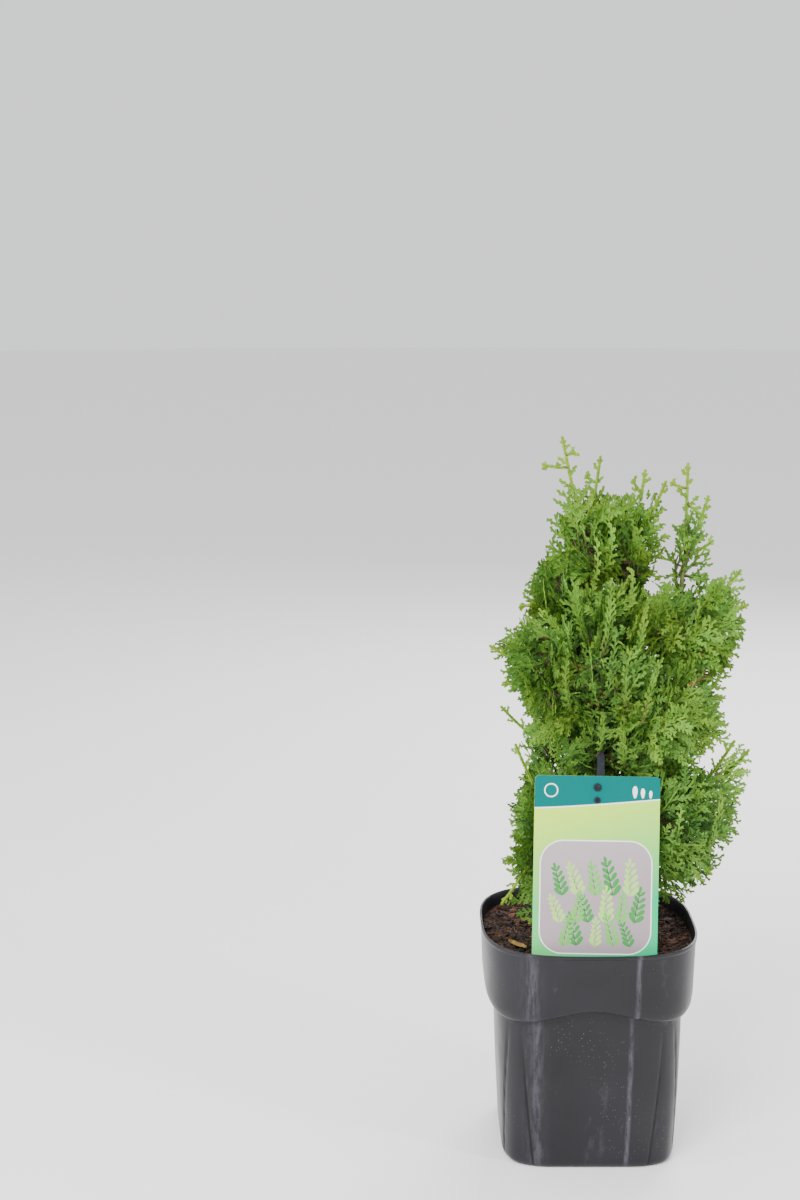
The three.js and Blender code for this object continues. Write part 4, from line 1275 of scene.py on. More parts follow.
def make_card(settings):
    """The card and its print: a band, a fading field and a panel with plain sprigs."""
    white = print_surface("card_lines", settings.line_color)
    band = print_surface("card_band", settings.band_color)
    field = print_surface("card_field", settings.field_color, settings.field_end_color)
    half = CARD_WIDTH / 2
    outline = rounded_rectangle((-half, 0, half, CARD_LENGTH), CARD_CORNER)
    card = thin_shape("label_card_body", outline, 0, CARD_THICKNESS, field)
    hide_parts("label_card")
    upper = [(x, y) for x, y in outline if y > CARD_LENGTH / 2]
    lower = [(x, band_edge(x)) for x in np.linspace(-half, half, 25)]
    print_shape("label_band", upper + lower, band)
    print_shape("label_line", lower + [(x, y - BAND_LINE) for x, y in reversed(lower)], white)
    print_shape("label_panel_line", rounded_rectangle(PANEL, PANEL_CORNER, 12), white)
    inner_panel = rounded_rectangle(PANEL, PANEL_CORNER, 12, OUTLINE_WIDTH)
    print_shape("label_panel", inner_panel, print_surface("card_panel", *PANEL_COLORS))
    for k, (outlines, color) in enumerate(zip(panel_sprigs(), SPRIG_COLORS), start=1):
        print_motif(f"label_sprigs_{k}", outlines, print_surface(f"card_green_{k}", color))
    marks = [leaf_outline((24 + 5 * k, CARD_LENGTH - 14), math.pi / 2, 8 - 1.4 * k) for k in range(3)]
    print_motif("label_marks", marks + [rounded_rectangle(RING, RING_CORNER)], white)
    ring_middle = rounded_rectangle(RING, RING_CORNER, inset=OUTLINE_WIDTH)
    print_motif("label_ring_middle", [ring_middle], band)


def make_stick(settings):
    """The bar behind the card, narrowing to a round tip, and the two pins with domed heads."""
    plastic = stick_plastic(settings)
    tip = STICK_TIP_WIDTH / 2
    half = STICK_WIDTH / 2
    top = CARD_LENGTH + STICK_ABOVE_CARD
    arc = [(tip * math.cos(a), top - tip + tip * math.sin(a)) for a in np.linspace(0, math.pi, 13)]
    right = [
        (tip / 2, -STICK_BELOW_SOIL),
        (half, -STICK_BELOW_SOIL + STICK_POINT),
        (half, CARD_LENGTH - 10),
        (half - 0.4, CARD_LENGTH - 5),
        (tip + 0.4, CARD_LENGTH),
        (tip, CARD_LENGTH + 5),
    ]
    left = [(-x, y) for x, y in reversed(right)]
    outline = [(x + STICK_OFFSET, y) for x, y in right + arc + left]
    bar = thin_shape("label_stick_bar", outline, -STICK_GAP - STICK_THICKNESS, -STICK_GAP, plastic)
    activate(bar)
    apply_modifier(bar, "BEVEL", width=0.45 * MM, segments=3, limit_method="ANGLE", angle_limit=0.9)
    shade_smooth(40)
    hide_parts("label_stick")
    for name, drop, radius in zip(("label_pin_upper", "label_pin_lower"), PIN_DROPS, PIN_RADII):
        make_pin(name, drop, radius, plastic)


def make_pin(name, drop, radius, plastic):
    """A pin with a domed head, hollow in the middle."""
    head, height = radius * PIN_HEAD_RATIO * MM, PIN_HEAD_HEIGHT * MM
    seat = (CARD_THICKNESS + PIN_GAP) * MM
    pin = add_object(
        bpy.ops.mesh.primitive_cylinder_add,
        vertices=32, radius=head, depth=height, location=(0, 0, seat + height / 2),
    )
    bpy.ops.object.transform_apply(location=True, rotation=True, scale=True)
    select_verts(pin, lambda co: co.z > seat + 0.75 * height)
    bpy.ops.mesh.bevel(offset=PIN_HEAD_ROUNDING * MM, segments=4, affect="EDGES")
    select_verts(pin, lambda co: co.z > seat + 0.99 * height)
    bpy.ops.mesh.inset(thickness=0.25 * head, depth=0)
    bpy.ops.mesh.extrude_region_move(TRANSFORM_OT_translate={"value": (0, 0, -PIN_HOLLOW * MM)})
    outward_normals()
    end_edit()
    shade_smooth(40)
    pin.data.transform(Matrix.Translation((0, (CARD_LENGTH - drop) * MM, 0)))
    set_on_card(pin)
    finish_piece(pin, name, plastic)


# Curves and the growth rule


class Dice:
    """The small seeded random number generator of the growth rule."""

    def __init__(self, seed):
        self.state = seed

    def between(self, low, high):
        self.state = (self.state * 1664525 + 1013904223) % 4294967296
        return low + (high - low) * self.state / 4294967296


def unit(vector):
    return vector / np.linalg.norm(vector)


def hermite(start, end, start_slope, end_slope, share):
    """Points on the cubic curve between two points with a slope at each."""
    t = share[:, None]
    c2 = -3 * start + 3 * end - 2 * start_slope - end_slope
    c3 = 2 * start - 2 * end + start_slope + end_slope
    return start + start_slope * t + c2 * t ** 2 + c3 * t ** 3


class Route:
    """A smooth curve through points, walked by its length."""

    def __init__(self, samples):
        self.samples = samples
        steps = np.linalg.norm(np.diff(samples, axis=0), axis=1)
        self.walked = np.concatenate([[0.0], np.cumsum(steps)])
        self.length = self.walked[-1]

    @classmethod
    def through(cls, points, centripetal=False, per_span=50):
        """The curve that the solids follow: even for limbs, centripetal for stems."""
        knots = np.array([np.array(p, float) for p in points])
        knots = np.vstack([2 * knots[0] - knots[1], knots, 2 * knots[-1] - knots[-2]])
        share = np.linspace(0, 1, per_span + 1)
        spans = []
        for k in range(1, len(knots) - 2):
            x0, x1, x2, x3 = knots[k - 1:k + 3]
            if centripetal:
                d0, d1, d2 = (math.sqrt(np.linalg.norm(b - a)) for a, b in ((x0, x1), (x1, x2), (x2, x3)))
                slope1 = ((x1 - x0) / d0 - (x2 - x0) / (d0 + d1) + (x2 - x1) / d1) * d1
                slope2 = ((x2 - x1) / d1 - (x3 - x1) / (d1 + d2) + (x3 - x2) / d2) * d1
            else:
                slope1, slope2 = (x2 - x0) / 2, (x3 - x1) / 2
            spans.append(hermite(x1, x2, slope1, slope2, share)[:-1])
        return cls(np.vstack([*spans, knots[-2:-1]]))

    @classmethod
    def bowed(cls, start, knee, tip):
        t = np.linspace(0, 1, 41)[:, None]
        return cls((1 - t) ** 2 * start + 2 * t * (1 - t) * knee + t ** 2 * tip)

    def at(self, share):
        walked = np.clip(share, 0, 1) * self.length
        return np.stack([np.interp(walked, self.walked, self.samples[:, i]) for i in range(3)], axis=-1)

    def heading(self, share):
        return unit(self.at(min(1, share + 0.005)) - self.at(max(0, share - 0.005)))


def limb_radius(limb, share):
    """Radius of a limb at a share of its length, with the root flare at the trunk's foot."""
    first, last = limb["radii"]
    return first + (last - first) * share ** LIMB_TAPER + limb.get("flare", 0) * np.exp(-share * FLARE_FADE)


LIMB_ROUTES = {name: Route.through(limb["points"]) for name, limb in LIMBS.items()}


def limb_samples():
    """Points along every limb with the radius there."""
    places, radii = [], []
    for name, limb in LIMBS.items():
        route = LIMB_ROUTES[name]
        share = np.linspace(0, 1, math.ceil(route.length / 2) + 1)
        places.append(route.at(share))
        radii.append(limb_radius(limb, share))
    return np.vstack(places), np.concatenate(radii)


LIMB_PLACES, LIMB_RADII = limb_samples()
CARD_INVERSE = np.array(label_frame().inverted())


def in_the_open(points):
    """True where foliage may be: above soil and rim, and behind or beside the label."""
    in_mouth = np.hypot(points[:, 0], points[:, 1]) < MOUTH_RADIUS
    free = points[:, 2] > np.where(in_mouth, SOIL_TOP, POT_HEIGHT) + GROUND_MARGIN
    on_card = (points * MM) @ CARD_INVERSE[:3, :3].T + CARD_INVERSE[:3, 3]
    x, y, z = (on_card / MM).T
    beside = np.abs(x) > CARD_WIDTH / 2 + LABEL_MARGIN
    above = y > CARD_LENGTH + LABEL_MARGIN
    on_stick = np.abs(x - STICK_OFFSET) < STICK_WIDTH / 2 + LABEL_MARGIN
    above_stick = y > CARD_LENGTH + STICK_ABOVE_CARD + LABEL_MARGIN
    behind = z < -STICK_THICKNESS - LABEL_MARGIN
    return free & (behind | beside | (above & (above_stick | ~on_stick)))


def clear_of_limbs(points, batch=4000):
    """True where a point is outside every limb."""
    free = np.ones(len(points), bool)
    for k in range(0, len(points), batch):
        squares = ((points[k:k + batch, None, :] - LIMB_PLACES[None, :, :]) ** 2).sum(axis=2)
        free[k:k + batch] = (squares > (LIMB_RADII + LIMB_MARGIN) ** 2).all(axis=1)
    return free


def inside_by(points, own, other):
    """How far points lie on the first mass's side of the wall between two masses."""
    weight = np.array([1, 1, HEIGHT_WEIGHT])
    start, end = np.array(own["centre"]) * weight, np.array(other["centre"]) * weight
    across = end - start
    return (((start + end) / 2 - points * weight) @ across) / np.linalg.norm(across * weight)


def depth_inside(points, mass):
    """How deep points lie in the space of a mass, below 0 outside it."""
    others = [other for other in MASSES.values() if other is not mass]
    return np.min([inside_by(points, mass, other) for other in others], axis=0)


def mass_round(point):
    """The name of the mass whose space a place lies in."""
    place = np.array([point], float)
    return max(MASSES, key=lambda name: depth_inside(place, MASSES[name])[0])


def mass_stem(mass):
    """The stem of a mass: from just past its limb's tip to the middle of the mass and on to its crest."""
    limb = LIMB_ROUTES[mass["limb"]]
    heading = limb.heading(1)
    foot = limb.at(1) + heading * STEM_CLEARANCE
    ahead = foot + heading * STEM_START
    centre = np.array(mass["centre"], float)
    crest = centre + UP * mass["reach"][2] / 2
    middle = centre + (ahead - centre) * 0.3
    middle[2] = max(middle[2], ahead[2] + STEM_START / 2)
    return Route.through([foot, ahead, middle, crest], centripetal=True)


class Frond:
    """A twig that bows up from the stem, and a flat spray in an upright plane at its end."""

    def __init__(self, start, tip, twist, bare, spread, knee=None):
        if knee is None:
            run = tip - start
            knee = start + run / 2 - UP * FROND_BOW * np.linalg.norm(run)
        self.route = Route.bowed(start, knee, tip)
        self.start, self.bare, self.spread = start, bare, spread
        self.root = self.route.at(bare)
        along = tip - self.root
        self.length = np.linalg.norm(along)
        self.along = along / self.length
        flat = unit(np.cross(self.along, SIDEWAYS if abs(self.along[2]) > STEEP else UP))
        self.flat = flat * math.cos(twist) + np.cross(self.along, flat) * math.sin(twist)
        self.across = np.cross(self.flat, self.along)

    def at(self, share):
        """The place at a share of the stretch that bears sprays."""
        return self.route.at(self.bare + (1 - self.bare) * share)

    def heading(self, share):
        return self.route.heading(min(0.99, self.bare + (1 - self.bare) * share))

    def corners(self):
        """Corners that the flat spray reaches, for the test of its space."""
        along = np.array([0.3, 0.3, 0.6, 0.6, 1.0])
        side = np.array([0.55, -0.55, 0.8, -0.8, 0]) * self.spread
        base = self.root + np.outer(along, self.along) * self.length
        return base + np.outer(side, self.across) * self.length


def seen_at(points):
    """Where places show in the trunk's plane, seen from the front: across and up."""
    share = VIEWPOINT[1] / (VIEWPOINT[1] - points[:, 1:2])
    return VIEWPOINT[[0, 2]] + (points[:, [0, 2]] - VIEWPOINT[[0, 2]]) * share


def within_outline(points, margin):
    """True where a place shows inside the crown's outline, or no further out than the margin."""
    seen = seen_at(points)[:, None, :]
    start, end = OUTLINE, np.roll(OUTLINE, -1, axis=0)
    along = end - start
    x, y = seen[..., 0], seen[..., 1]
    spans = (start[:, 1] > y) != (end[:, 1] > y)
    rise = np.where(along[:, 1] == 0, 1, along[:, 1])
    crossing = start[:, 0] + along[:, 0] * (y - start[:, 1]) / rise
    inside = (spans & (x < crossing)).sum(axis=1) % 2 == 1
    share = np.clip(((seen - start) * along).sum(axis=2) / (along ** 2).sum(axis=1), 0, 1)
    gap = np.linalg.norm(seen - start - along * share[..., None], axis=2).min(axis=1)
    return inside | (gap < margin)


def fit_frond(plan, mass, margin=OUTLINE_MARGIN):
    """The longest frond of a plan that keeps to its mass's space and to the outline, or none."""
    for share in FROND_SHARES:
        frond = Frond(**{**plan, "tip": plan["start"] + (plan["tip"] - plan["start"]) * share})
        path = frond.route.at(np.linspace(0, 1, 9))
        path = path[np.linalg.norm(path - frond.start, axis=1) > ROOT_FREE]
        points = np.vstack([path, frond.corners()])
        in_space = depth_inside(points, mass) > -CELL_OVERLAP
        if (in_space & in_the_open(points) & within_outline(points, margin)).all():
            return frond
    return None


def frond_plan(mass, stem, n, dice):
    """The nth frond of a mass, spread evenly over its outside by a rule that needs no total."""
    level = -0.8 + 1.7 * ((n * LEVEL_STEP + 0.35) % 1)
    turn = n * GOLDEN + dice.between(-0.3, 0.3)
    ring = math.sqrt(1 - min(0.98, level * level))
    way = np.array([ring * math.cos(turn), ring * math.sin(turn), level])
    tip = np.array(mass["centre"]) + way * np.array(mass["reach"])
    start = stem.at(min(0.65, max(0.25, 0.4 + 0.3 * level)))
    return {**FROND, "start": start, "tip": tip, "twist": dice.between(-FROND["twist"], FROND["twist"])}


def nearest(places, point):
    return places[np.argmin(np.linalg.norm(places - point, axis=1))]


def branching_plan(mass, joints, tip, dice):
    """A finer frond to a tip: it branches off the older twig that lies best for the way the mass leans."""
    outward = unit(tip - np.array(mass["centre"]))
    heading = unit(OUTWARD * outward + LEANING * np.array(mass["lean"]))
    start = nearest(joints, tip - heading * FINER_LENGTH * dice.between(*FINER_LENGTHS))
    turn, variation = mass["turn"]
    twist = turn + dice.between(-variation, variation)
    return {"start": start, "tip": tip, "bare": 0.1, "twist": twist, "spread": mass["spread"]}


def finer_plan(mass, stem, joints, n, dice):
    """The nth frond as a finer one, with its tip by the same rule."""
    centre = np.array(mass["centre"])
    tip = frond_plan(mass, stem, n, dice)["tip"]
    tip = centre + (tip - centre) * dice.between(*FINER_REACH)
    return branching_plan(mass, joints, tip, dice)


def finer_count(mass, settings):
    """How many finer fronds are tried in a mass, for its surface and its fullness."""
    x, y, z = mass["reach"]
    return round(settings.finer_fronds * mass["fullness"] * (x * y + y * z + z * x) / FULL_SIZE)


# Twigs and sprays

# One branchlet: shares of its length, and there its width and its sideways step, as a shoot of
# alternate scale leaves; its blunt tip comes after the last. The inner ones have fewer scales
OUTER_SCALES = ((0.0, 0.55, 0.0), (0.4, 1.0, 0.26), (0.82, 0.92, -0.24))
INNER_SCALES = ((0.0, 0.6, 0.0), (0.6, 1.2, 0.15))
RIDGE = 0.55
CHAIN_STEP = 5.2
# How branchlets stand on a spray: spacing, angles, shortest and longest, share of the spray's length,
# how much shorter they get towards its end, how far out of its plane, and the length that forks
BRANCHLET_SPACING = 1.65
BRANCHLET_ANGLES = (0.54, 0.82)
BRANCHLET_LENGTHS = (2.1, 4.6)
BRANCHLET_SHARE = 0.4
BRANCHLET_TAPER = 0.58
UNEVENNESS = 0.09
FORKED_FROM = 4.1
FORK_SIZE = 0.45
# How sprays stand on a frond
SPRAY_SPACING = 4.6
SPRAY_ANGLES = (0.5, 0.76)
SPRAY_REACH = 1.42
SPRAY_TAPER = 0.25
LEAST_SPRAY = 4.0
RISE = 0.2
AXIS_STEP = 5
# How sprays stand on a leader's thin shoot, and the width of its axis
SHOOT_SPACING = 8.5
SIDE_SHOOT_SPACING = 5.5
SHOOT_STEP = 4.2
SHOOT_SPRAYS = (5.0, 13.0)
SHOOT_WIDTH = 1.5
DRY_PLACES = ((-2, 394), (-3, 306), (66, 338), (70, 322), (58, 318), (56, 358))
DRY_RADIUS = 3.2
# Tones by how far out in its mass a spray stands: up to where, the chance of the first pair, both pairs
TONES = ("deep", "mid", "bright", "tip", "dry")
DEEP, MID, BRIGHT, TIP, DRY = range(len(TONES))
TONE_STEPS = (
    (0.5, 0.75, (DEEP, DEEP), (DEEP, MID)),
    (0.72, 0.25, (DEEP, MID), (MID, MID)),
    (0.95, 0.6, (MID, BRIGHT), (MID, MID)),
    (math.inf, 0.12, (BRIGHT, TIP), (BRIGHT, BRIGHT)),
)
# Growth is older and darker low down, and at the top it is young, lighter and thicker
AGE_HEIGHTS = (200, 290, 378, 418)
AGE_SHIFTS = (-0.14, 0.05, 0.05, 0.3)
YOUNG_THICKER = 1.1
PIECE_BRANCHLETS = 13500
BOX_MARGIN = 1.5


class Thicket:
    """All branchlets and bare twigs of the crown, gathered before they are made meshes."""

    def __init__(self, width):
        self.width = width
        self.branchlets = []
        self.twigs = []

    def branchlet(self, start, heading, normal, length, width, tone_index):
        self.branchlets.append((*start, *heading, *normal, length, width, tone_index))

    def chain(self, start, heading, normal, length, width, tone_index, bend):
        """Branchlets end to end, bending on the way; returns the joints and headings passed."""
        count = max(1, round(length / CHAIN_STEP))
        step = length / count
        passed = []
        place, way = start, heading
        for _ in range(count):
            passed.append((place, way))
            self.branchlet(place, way, normal, step * 1.22, width, tone_index)
            place = place + way * step
            way = unit(way + bend)
        passed.append((place, way))
        return passed

    def twig(self, frond, share):
        """The bare twig of a frond, up to a share of the stretch that bears sprays."""
        self.twigs.append((frond.route, 0.0, frond.bare + (1 - frond.bare) * share, TWIG_RADII))


def along_chain(passed, share):
    """Place and heading at a share of a chain."""
    spans = len(passed) - 1
    k = min(int(share * spans), spans - 1)
    (first, way), (second, _) = passed[k], passed[k + 1]
    return first + (second - first) * (share * spans - k), way


def first_side(rng):
    return 1 if rng.random() < 0.5 else -1


def turned(way, across, flat, angle, rng):
    """A heading turned aside from a way in a spray's plane, and a little out of the plane."""
    return way * math.cos(angle) + across * math.sin(angle) + flat * rng.normal(0, UNEVENNESS)


def age_shift(place):
    """How much younger the growth is at a place's height, below 0 for older."""
    return np.interp(place[2], AGE_HEIGHTS, AGE_SHIFTS)


def grow_spray(thicket, start, heading, flat, length, tones, rng):
    """A small flat spray: an axis with alternate branchlets on both sides, longest near its foot."""
    bend = rng.normal(0, 0.03, 3) - 0.02 * UP
    inner, outer = tones
    shortest, longest = BRANCHLET_LENGTHS
    width = thicket.width * (1 + YOUNG_THICKER * max(0, age_shift(start)))
    axis = thicket.chain(start, heading, flat, length, width, inner, bend)
    side = first_side(rng)
    count = max(1, int(length * 0.86 / BRANCHLET_SPACING))
    for k in range(count):
        share = 0.12 + 0.86 * (k + rng.uniform(0.2, 0.8)) / count
        place, way = along_chain(axis, share)
        across = np.cross(flat, way) * side
        side = -side
        heading = unit(turned(way, across, flat, rng.uniform(*BRANCHLET_ANGLES), rng))
        reach = min(longest, max(shortest, BRANCHLET_SHARE * length * (1 - BRANCHLET_TAPER * share)))
        reach *= rng.uniform(0.85, 1.1)
        normal = unit(flat + across * rng.normal(0, 0.22))
        last = outer if share > 0.5 or rng.random() < 0.3 else inner
        thicket.branchlet(place, heading, normal, reach, width * rng.uniform(0.85, 1.05), last)
        if reach > FORKED_FROM:
            fork = unit(heading * 0.78 + np.cross(flat, heading) * side * 0.62)
            foot = place + heading * reach * FORK_SIZE
            thicket.branchlet(foot, fork, normal, reach * FORK_SIZE, width * 0.85, last)


def pick_tones(point, mass, mood, rng):
    """The tones of a spray's inner and outer branchlets, by how far out in its mass it stands."""
    if near_dry_place(point):
        return MID, DRY
    share = np.linalg.norm((point - np.array(mass["centre"])) / np.array(mass["reach"])) + mood
    share += age_shift(point)
    chance = rng.random()
    for end, likely, first, second in TONE_STEPS:
        if share < end:
            return first if chance < likely else second


def near_dry_place(point):
    """Whether a spray stands where some have dried: a place across and up, on the front of the crown."""
    if point[1] > 0:
        return False
    return any(math.hypot(point[0] - x, point[2] - z) < DRY_RADIUS for x, z in DRY_PLACES)


def clothe_frond(thicket, frond, mass, lean, mood, rng, spacing=SPRAY_SPACING):
    """Sprays to both sides of a frond's axis, and one at its end, all near the frond's plane."""
    length = frond.length
    count = max(3, round(length / spacing))
    side = first_side(rng)
    mood = rng.normal(mood, 0.1)
    for k in range(count):
        share = (k + 0.35) / (count + 0.3)
        place, way = frond.at(share), frond.heading(share)
        flat = unit(frond.flat - way * (frond.flat @ way))
        across = np.cross(flat, way) * side
        side = -side
        angle = rng.uniform(*SPRAY_ANGLES)
        heading = unit(turned(way, across, flat, angle, rng) + RISE * lean)
        reach = length * frond.spread * SPRAY_REACH * math.sin(math.pi * (0.14 + 0.78 * share)) ** 0.7
        reach = min(reach * (1 - SPRAY_TAPER * share), length * (1.04 - share) / math.cos(angle))
        reach = max(LEAST_SPRAY, reach * rng.uniform(0.82, 1.05))
        tones = pick_tones(place + heading * reach * 0.6, mass, mood, rng)
        normal = unit(flat + across * rng.normal(0, 0.12))
        normal = unit(normal - heading * (normal @ heading))
        grow_spray(thicket, place, heading, normal, reach, tones, rng)
    tones = pick_tones(frond.route.at(0.95), mass, mood, rng)
    steps = max(2, round(length * 0.8 / AXIS_STEP))
    for k in range(steps):
        share = 0.2 + 0.8 * k / steps
        place, after = frond.at(share), frond.at(min(1, share + 0.8 / steps))
        span = np.linalg.norm(after - place)
        onward = unit(after - place)
        thicket.branchlet(place, onward, frond.flat, span * 1.2, thicket.width * 1.05, tones[1])
    thicket.twig(frond, 0.3)


def clothe_shoot(thicket, shoot, rng, spacing=SHOOT_SPACING):
    """A thin leader shoot: a knobbly axis with a few short alternate sprays and a forked tip."""
    length, flat = shoot.length, shoot.flat
    steps = max(3, round(length / SHOOT_STEP))
    for k in range(steps):
        place, after = shoot.at(k / steps), shoot.at((k + 1) / steps)
        way = unit(after - place)
        span = np.linalg.norm(after - place)
        for normal in (flat, np.cross(flat, way), -flat):
            thicket.branchlet(place, way, normal, span * 1.35, thicket.width * SHOOT_WIDTH, TIP)
    side = first_side(rng)
    shortest, longest = SHOOT_SPRAYS
    count = max(2, int(length / spacing))
    for k in range(count):
        share = 0.08 + 0.82 * (k + rng.uniform(0.3, 0.7)) / count
        place, way = shoot.at(share), shoot.heading(share)
        across = np.cross(flat, way) * side
        side = -side
        heading = unit(way * 0.72 + across * 0.62 + flat * rng.normal(0, 0.1))
        reach = min(longest, max(shortest, 0.3 * length * (1.1 - share))) * rng.uniform(0.8, 1.1)
        tones = (TIP, TIP) if share > 0.45 else (BRIGHT, TIP)
        grow_spray(thicket, place, heading, flat, reach, tones, rng)
    tip, way = shoot.route.at(0.97), shoot.route.heading(0.97)
    for side in (-1, 1):
        fork = unit(way * 0.8 + np.cross(flat, way) * side * 0.6)
        thicket.branchlet(tip - way * 2.4, fork, flat, 3.6, thicket.width * 0.95, TIP)
    thicket.twig(shoot, 0.35)


def grow_mass(thicket, index, name, settings):
    """All fronds and shoots of one mass, by the rule of the solids."""
    mass = MASSES[name]
    lean, mood = np.array(mass["lean"]), mass.get("mood", 0)
    dice = Dice(SEED + index)
    rng = np.random.default_rng(SEED * 100 + index)
    stem = mass_stem(mass)
    thicket.twigs.append((stem, 0.0, 1.0, STEM_RADII))
    shoots = []
    for target in mass["shoots"]:
        twist = dice.between(-SHOOT["twist"], SHOOT["twist"])
        plan = {**SHOOT, "start": stem.at(0.5), "tip": np.array(target, float), "twist": twist}
        shoots.append(fit_frond(plan, mass, SHOOT_MARGIN) or Frond(**plan))
    joints = [stem.at(np.linspace(0.2, 1, 6))]
    main_count = round(settings.fronds * min(1, mass["fullness"]))
    for n in range(main_count):
        frond = fit_frond(frond_plan(mass, stem, n, dice), mass)
        if frond is not None:
            clothe_frond(thicket, frond, mass, UP, mood, rng)
            joints.append(frond.route.at(np.linspace(0.25, 0.85, 5)))
    joints = np.vstack(joints)
    finer = range(main_count, main_count + finer_count(mass, settings))
    plans = [finer_plan(mass, stem, joints, n, dice) for n in finer]
    edge_tips = [np.array(tip, float) for tip in EDGE_TIPS if mass_round(tip) == name]
    plans += [branching_plan({**mass, "turn": EDGE_TURN}, joints, tip, dice) for tip in edge_tips]
    for plan in plans:
        frond = fit_frond(plan, mass)
        if frond is not None:
            clothe_frond(thicket, frond, mass, lean, mood, rng)
    for knee, tip in PLUMES.get(name, ()):
        knee, tip = np.array(knee, float), np.array(tip, float)
        lower = np.vstack([joints[joints[:, 2] < knee[2]], stem.at(0)])
        plume = Frond(nearest(lower, knee), tip, knee=knee, **PLUME)
        clothe_frond(thicket, plume, mass, UP, PLUME_MOOD, rng, PLUME_SPACING)
    for shoot in shoots:
        clothe_shoot(thicket, shoot, rng)
    for which, share, tip in SIDE_SHOOTS.get(name, ()):
        side_shoot = Frond(shoots[which].route.at(share), np.array(tip, float), **SIDE_SHOOT)
        clothe_shoot(thicket, side_shoot, rng, SIDE_SHOOT_SPACING)


def under_open_sky(points):
    """True where a place doesn't stand before one of the gaps in the crown."""
    seen = seen_at(points)
    free = np.ones(len(points), bool)
    ragged = GAP_RAGGEDNESS * np.sin(0.9 * seen[:, 0] + 0.5 * seen[:, 1]) * np.sin(1.1 * seen[:, 1])
    for across, up, radius in SKY_GAPS:
        free &= np.hypot(seen[:, 0] - across, seen[:, 1] - up) > radius + ragged
    return free


def keep_clear(rows):
    """Drops branchlets that reach the label, a limb, the soil, a sky gap or past the solids' box."""
    start, heading, length = rows[:, 0:3], rows[:, 3:6], rows[:, 9:10]
    low, high = (np.array(corner) / MM for corner in CAD_BOX)
    kept = np.ones(len(rows), bool)
    for share in (0.5, 1.0):
        points = start + heading * length * share
        kept &= in_the_open(points) & clear_of_limbs(points) & under_open_sky(points)
        kept &= ((points > low - BOX_MARGIN) & (points < high + BOX_MARGIN)).all(axis=1)
    return rows[kept]


def branchlet_arrays(rows, scales):
    """Vertices and triangles of branchlets: an open roof of alternate scales and a blunt tip each."""
    start, heading, normal = rows[:, 0:3], rows[:, 3:6], rows[:, 6:9]
    length, width = rows[:, 9], rows[:, 10]
    side = np.cross(normal, heading)
    side /= np.linalg.norm(side, axis=1, keepdims=True)
    top = np.cross(heading, side)
    rings = len(scales)
    alternate = np.where(np.arange(len(rows)) % 2, 1.0, -1.0)
    corners = np.empty((len(rows), 3 * rings + 1, 3))
    for k, (share, breadth, step) in enumerate(scales):
        middle = start + heading * (length * share)[:, None]
        middle = middle + side * (alternate * width * step / 2)[:, None]
        half = (width * breadth / 2)[:, None]
        corners[:, 3 * k] = middle + side * half
        corners[:, 3 * k + 1] = middle + top * half * RIDGE
        corners[:, 3 * k + 2] = middle - side * half
    corners[:, -1] = start + heading * length[:, None] + top * (width * 0.1)[:, None]
    pattern = []
    for k in range(rings - 1):
        a = 3 * k
        for i in (0, 1):
            pattern += [(a + i, a + 3 + i, a + 4 + i), (a + i, a + 4 + i, a + 1 + i)]
    last = 3 * (rings - 1)
    pattern += [(last, 3 * rings, last + 1), (last + 1, 3 * rings, last + 2)]
    pattern = np.array(pattern)
    faces = pattern[None, :, :] + (np.arange(len(rows)) * corners.shape[1])[:, None, None]
    return corners.reshape(-1, 3), faces.reshape(-1, 3)


def tube_arrays(route, first, last, radii, sides=4, step=7.0):
    """A thin tapering twig along a stretch of a route."""
    steps = max(2, round(route.length * (last - first) / step))
    share = np.linspace(first, last, steps + 1)
    centres = route.at(share)
    corners = []
    for k in range(steps + 1):
        way = route.heading(share[k])
        side = unit(np.cross(way, SIDEWAYS if abs(way[2]) > STEEP else UP))
        other = np.cross(way, side)
        radius = radii[0] + (radii[1] - radii[0]) * k / steps
        for i in range(sides):
            angle = 2 * math.pi * i / sides
            corners.append(centres[k] + radius * (side * math.cos(angle) + other * math.sin(angle)))
    faces = []
    for k in range(steps):
        for i in range(sides):
            a, b = k * sides + i, k * sides + (i + 1) % sides
            faces += [(a, b, b + sides), (a, b + sides, a + sides)]
    return np.array(corners), np.array(faces)


def join_arrays(parts):
    """The corners and faces of several parts as those of one."""
    corners, faces, count = [], [], 0
    for part_corners, part_faces in parts:
        corners.append(part_corners)
        faces.append(part_faces + count)
        count += len(part_corners)
    return np.vstack(corners), np.vstack(faces)


def make_crown(settings):
    """The crown: every mass grown, and its branchlets joined by tone into pieces."""
    thicket = Thicket(settings.branchlet_width / MM)
    for index, name in enumerate(MASSES):
        grow_mass(thicket, index, name, settings)
    rows = keep_clear(np.array(thicket.branchlets))
    for index, label in enumerate(TONES):
        chosen = rows[rows[:, 11] == index]
        material = leaf_surface(f"leaf_{label}", getattr(settings, f"{label}_color"))
        scales = INNER_SCALES if index == DEEP else OUTER_SCALES
        count = max(1, math.ceil(len(chosen) / PIECE_BRANCHLETS))
        for part, chunk in enumerate(np.array_split(chosen, count)):
            piece = array_mesh(f"sprays_{label}_{part + 1}", *branchlet_arrays(chunk, scales))
            finish_piece(piece, piece.name, material)
    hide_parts(*MASSES)
    twigs = join_arrays([tube_arrays(*twig) for twig in thicket.twigs])
    finish_piece(array_mesh("bare_twigs", *twigs), "bare_twigs", twig_surface(settings))


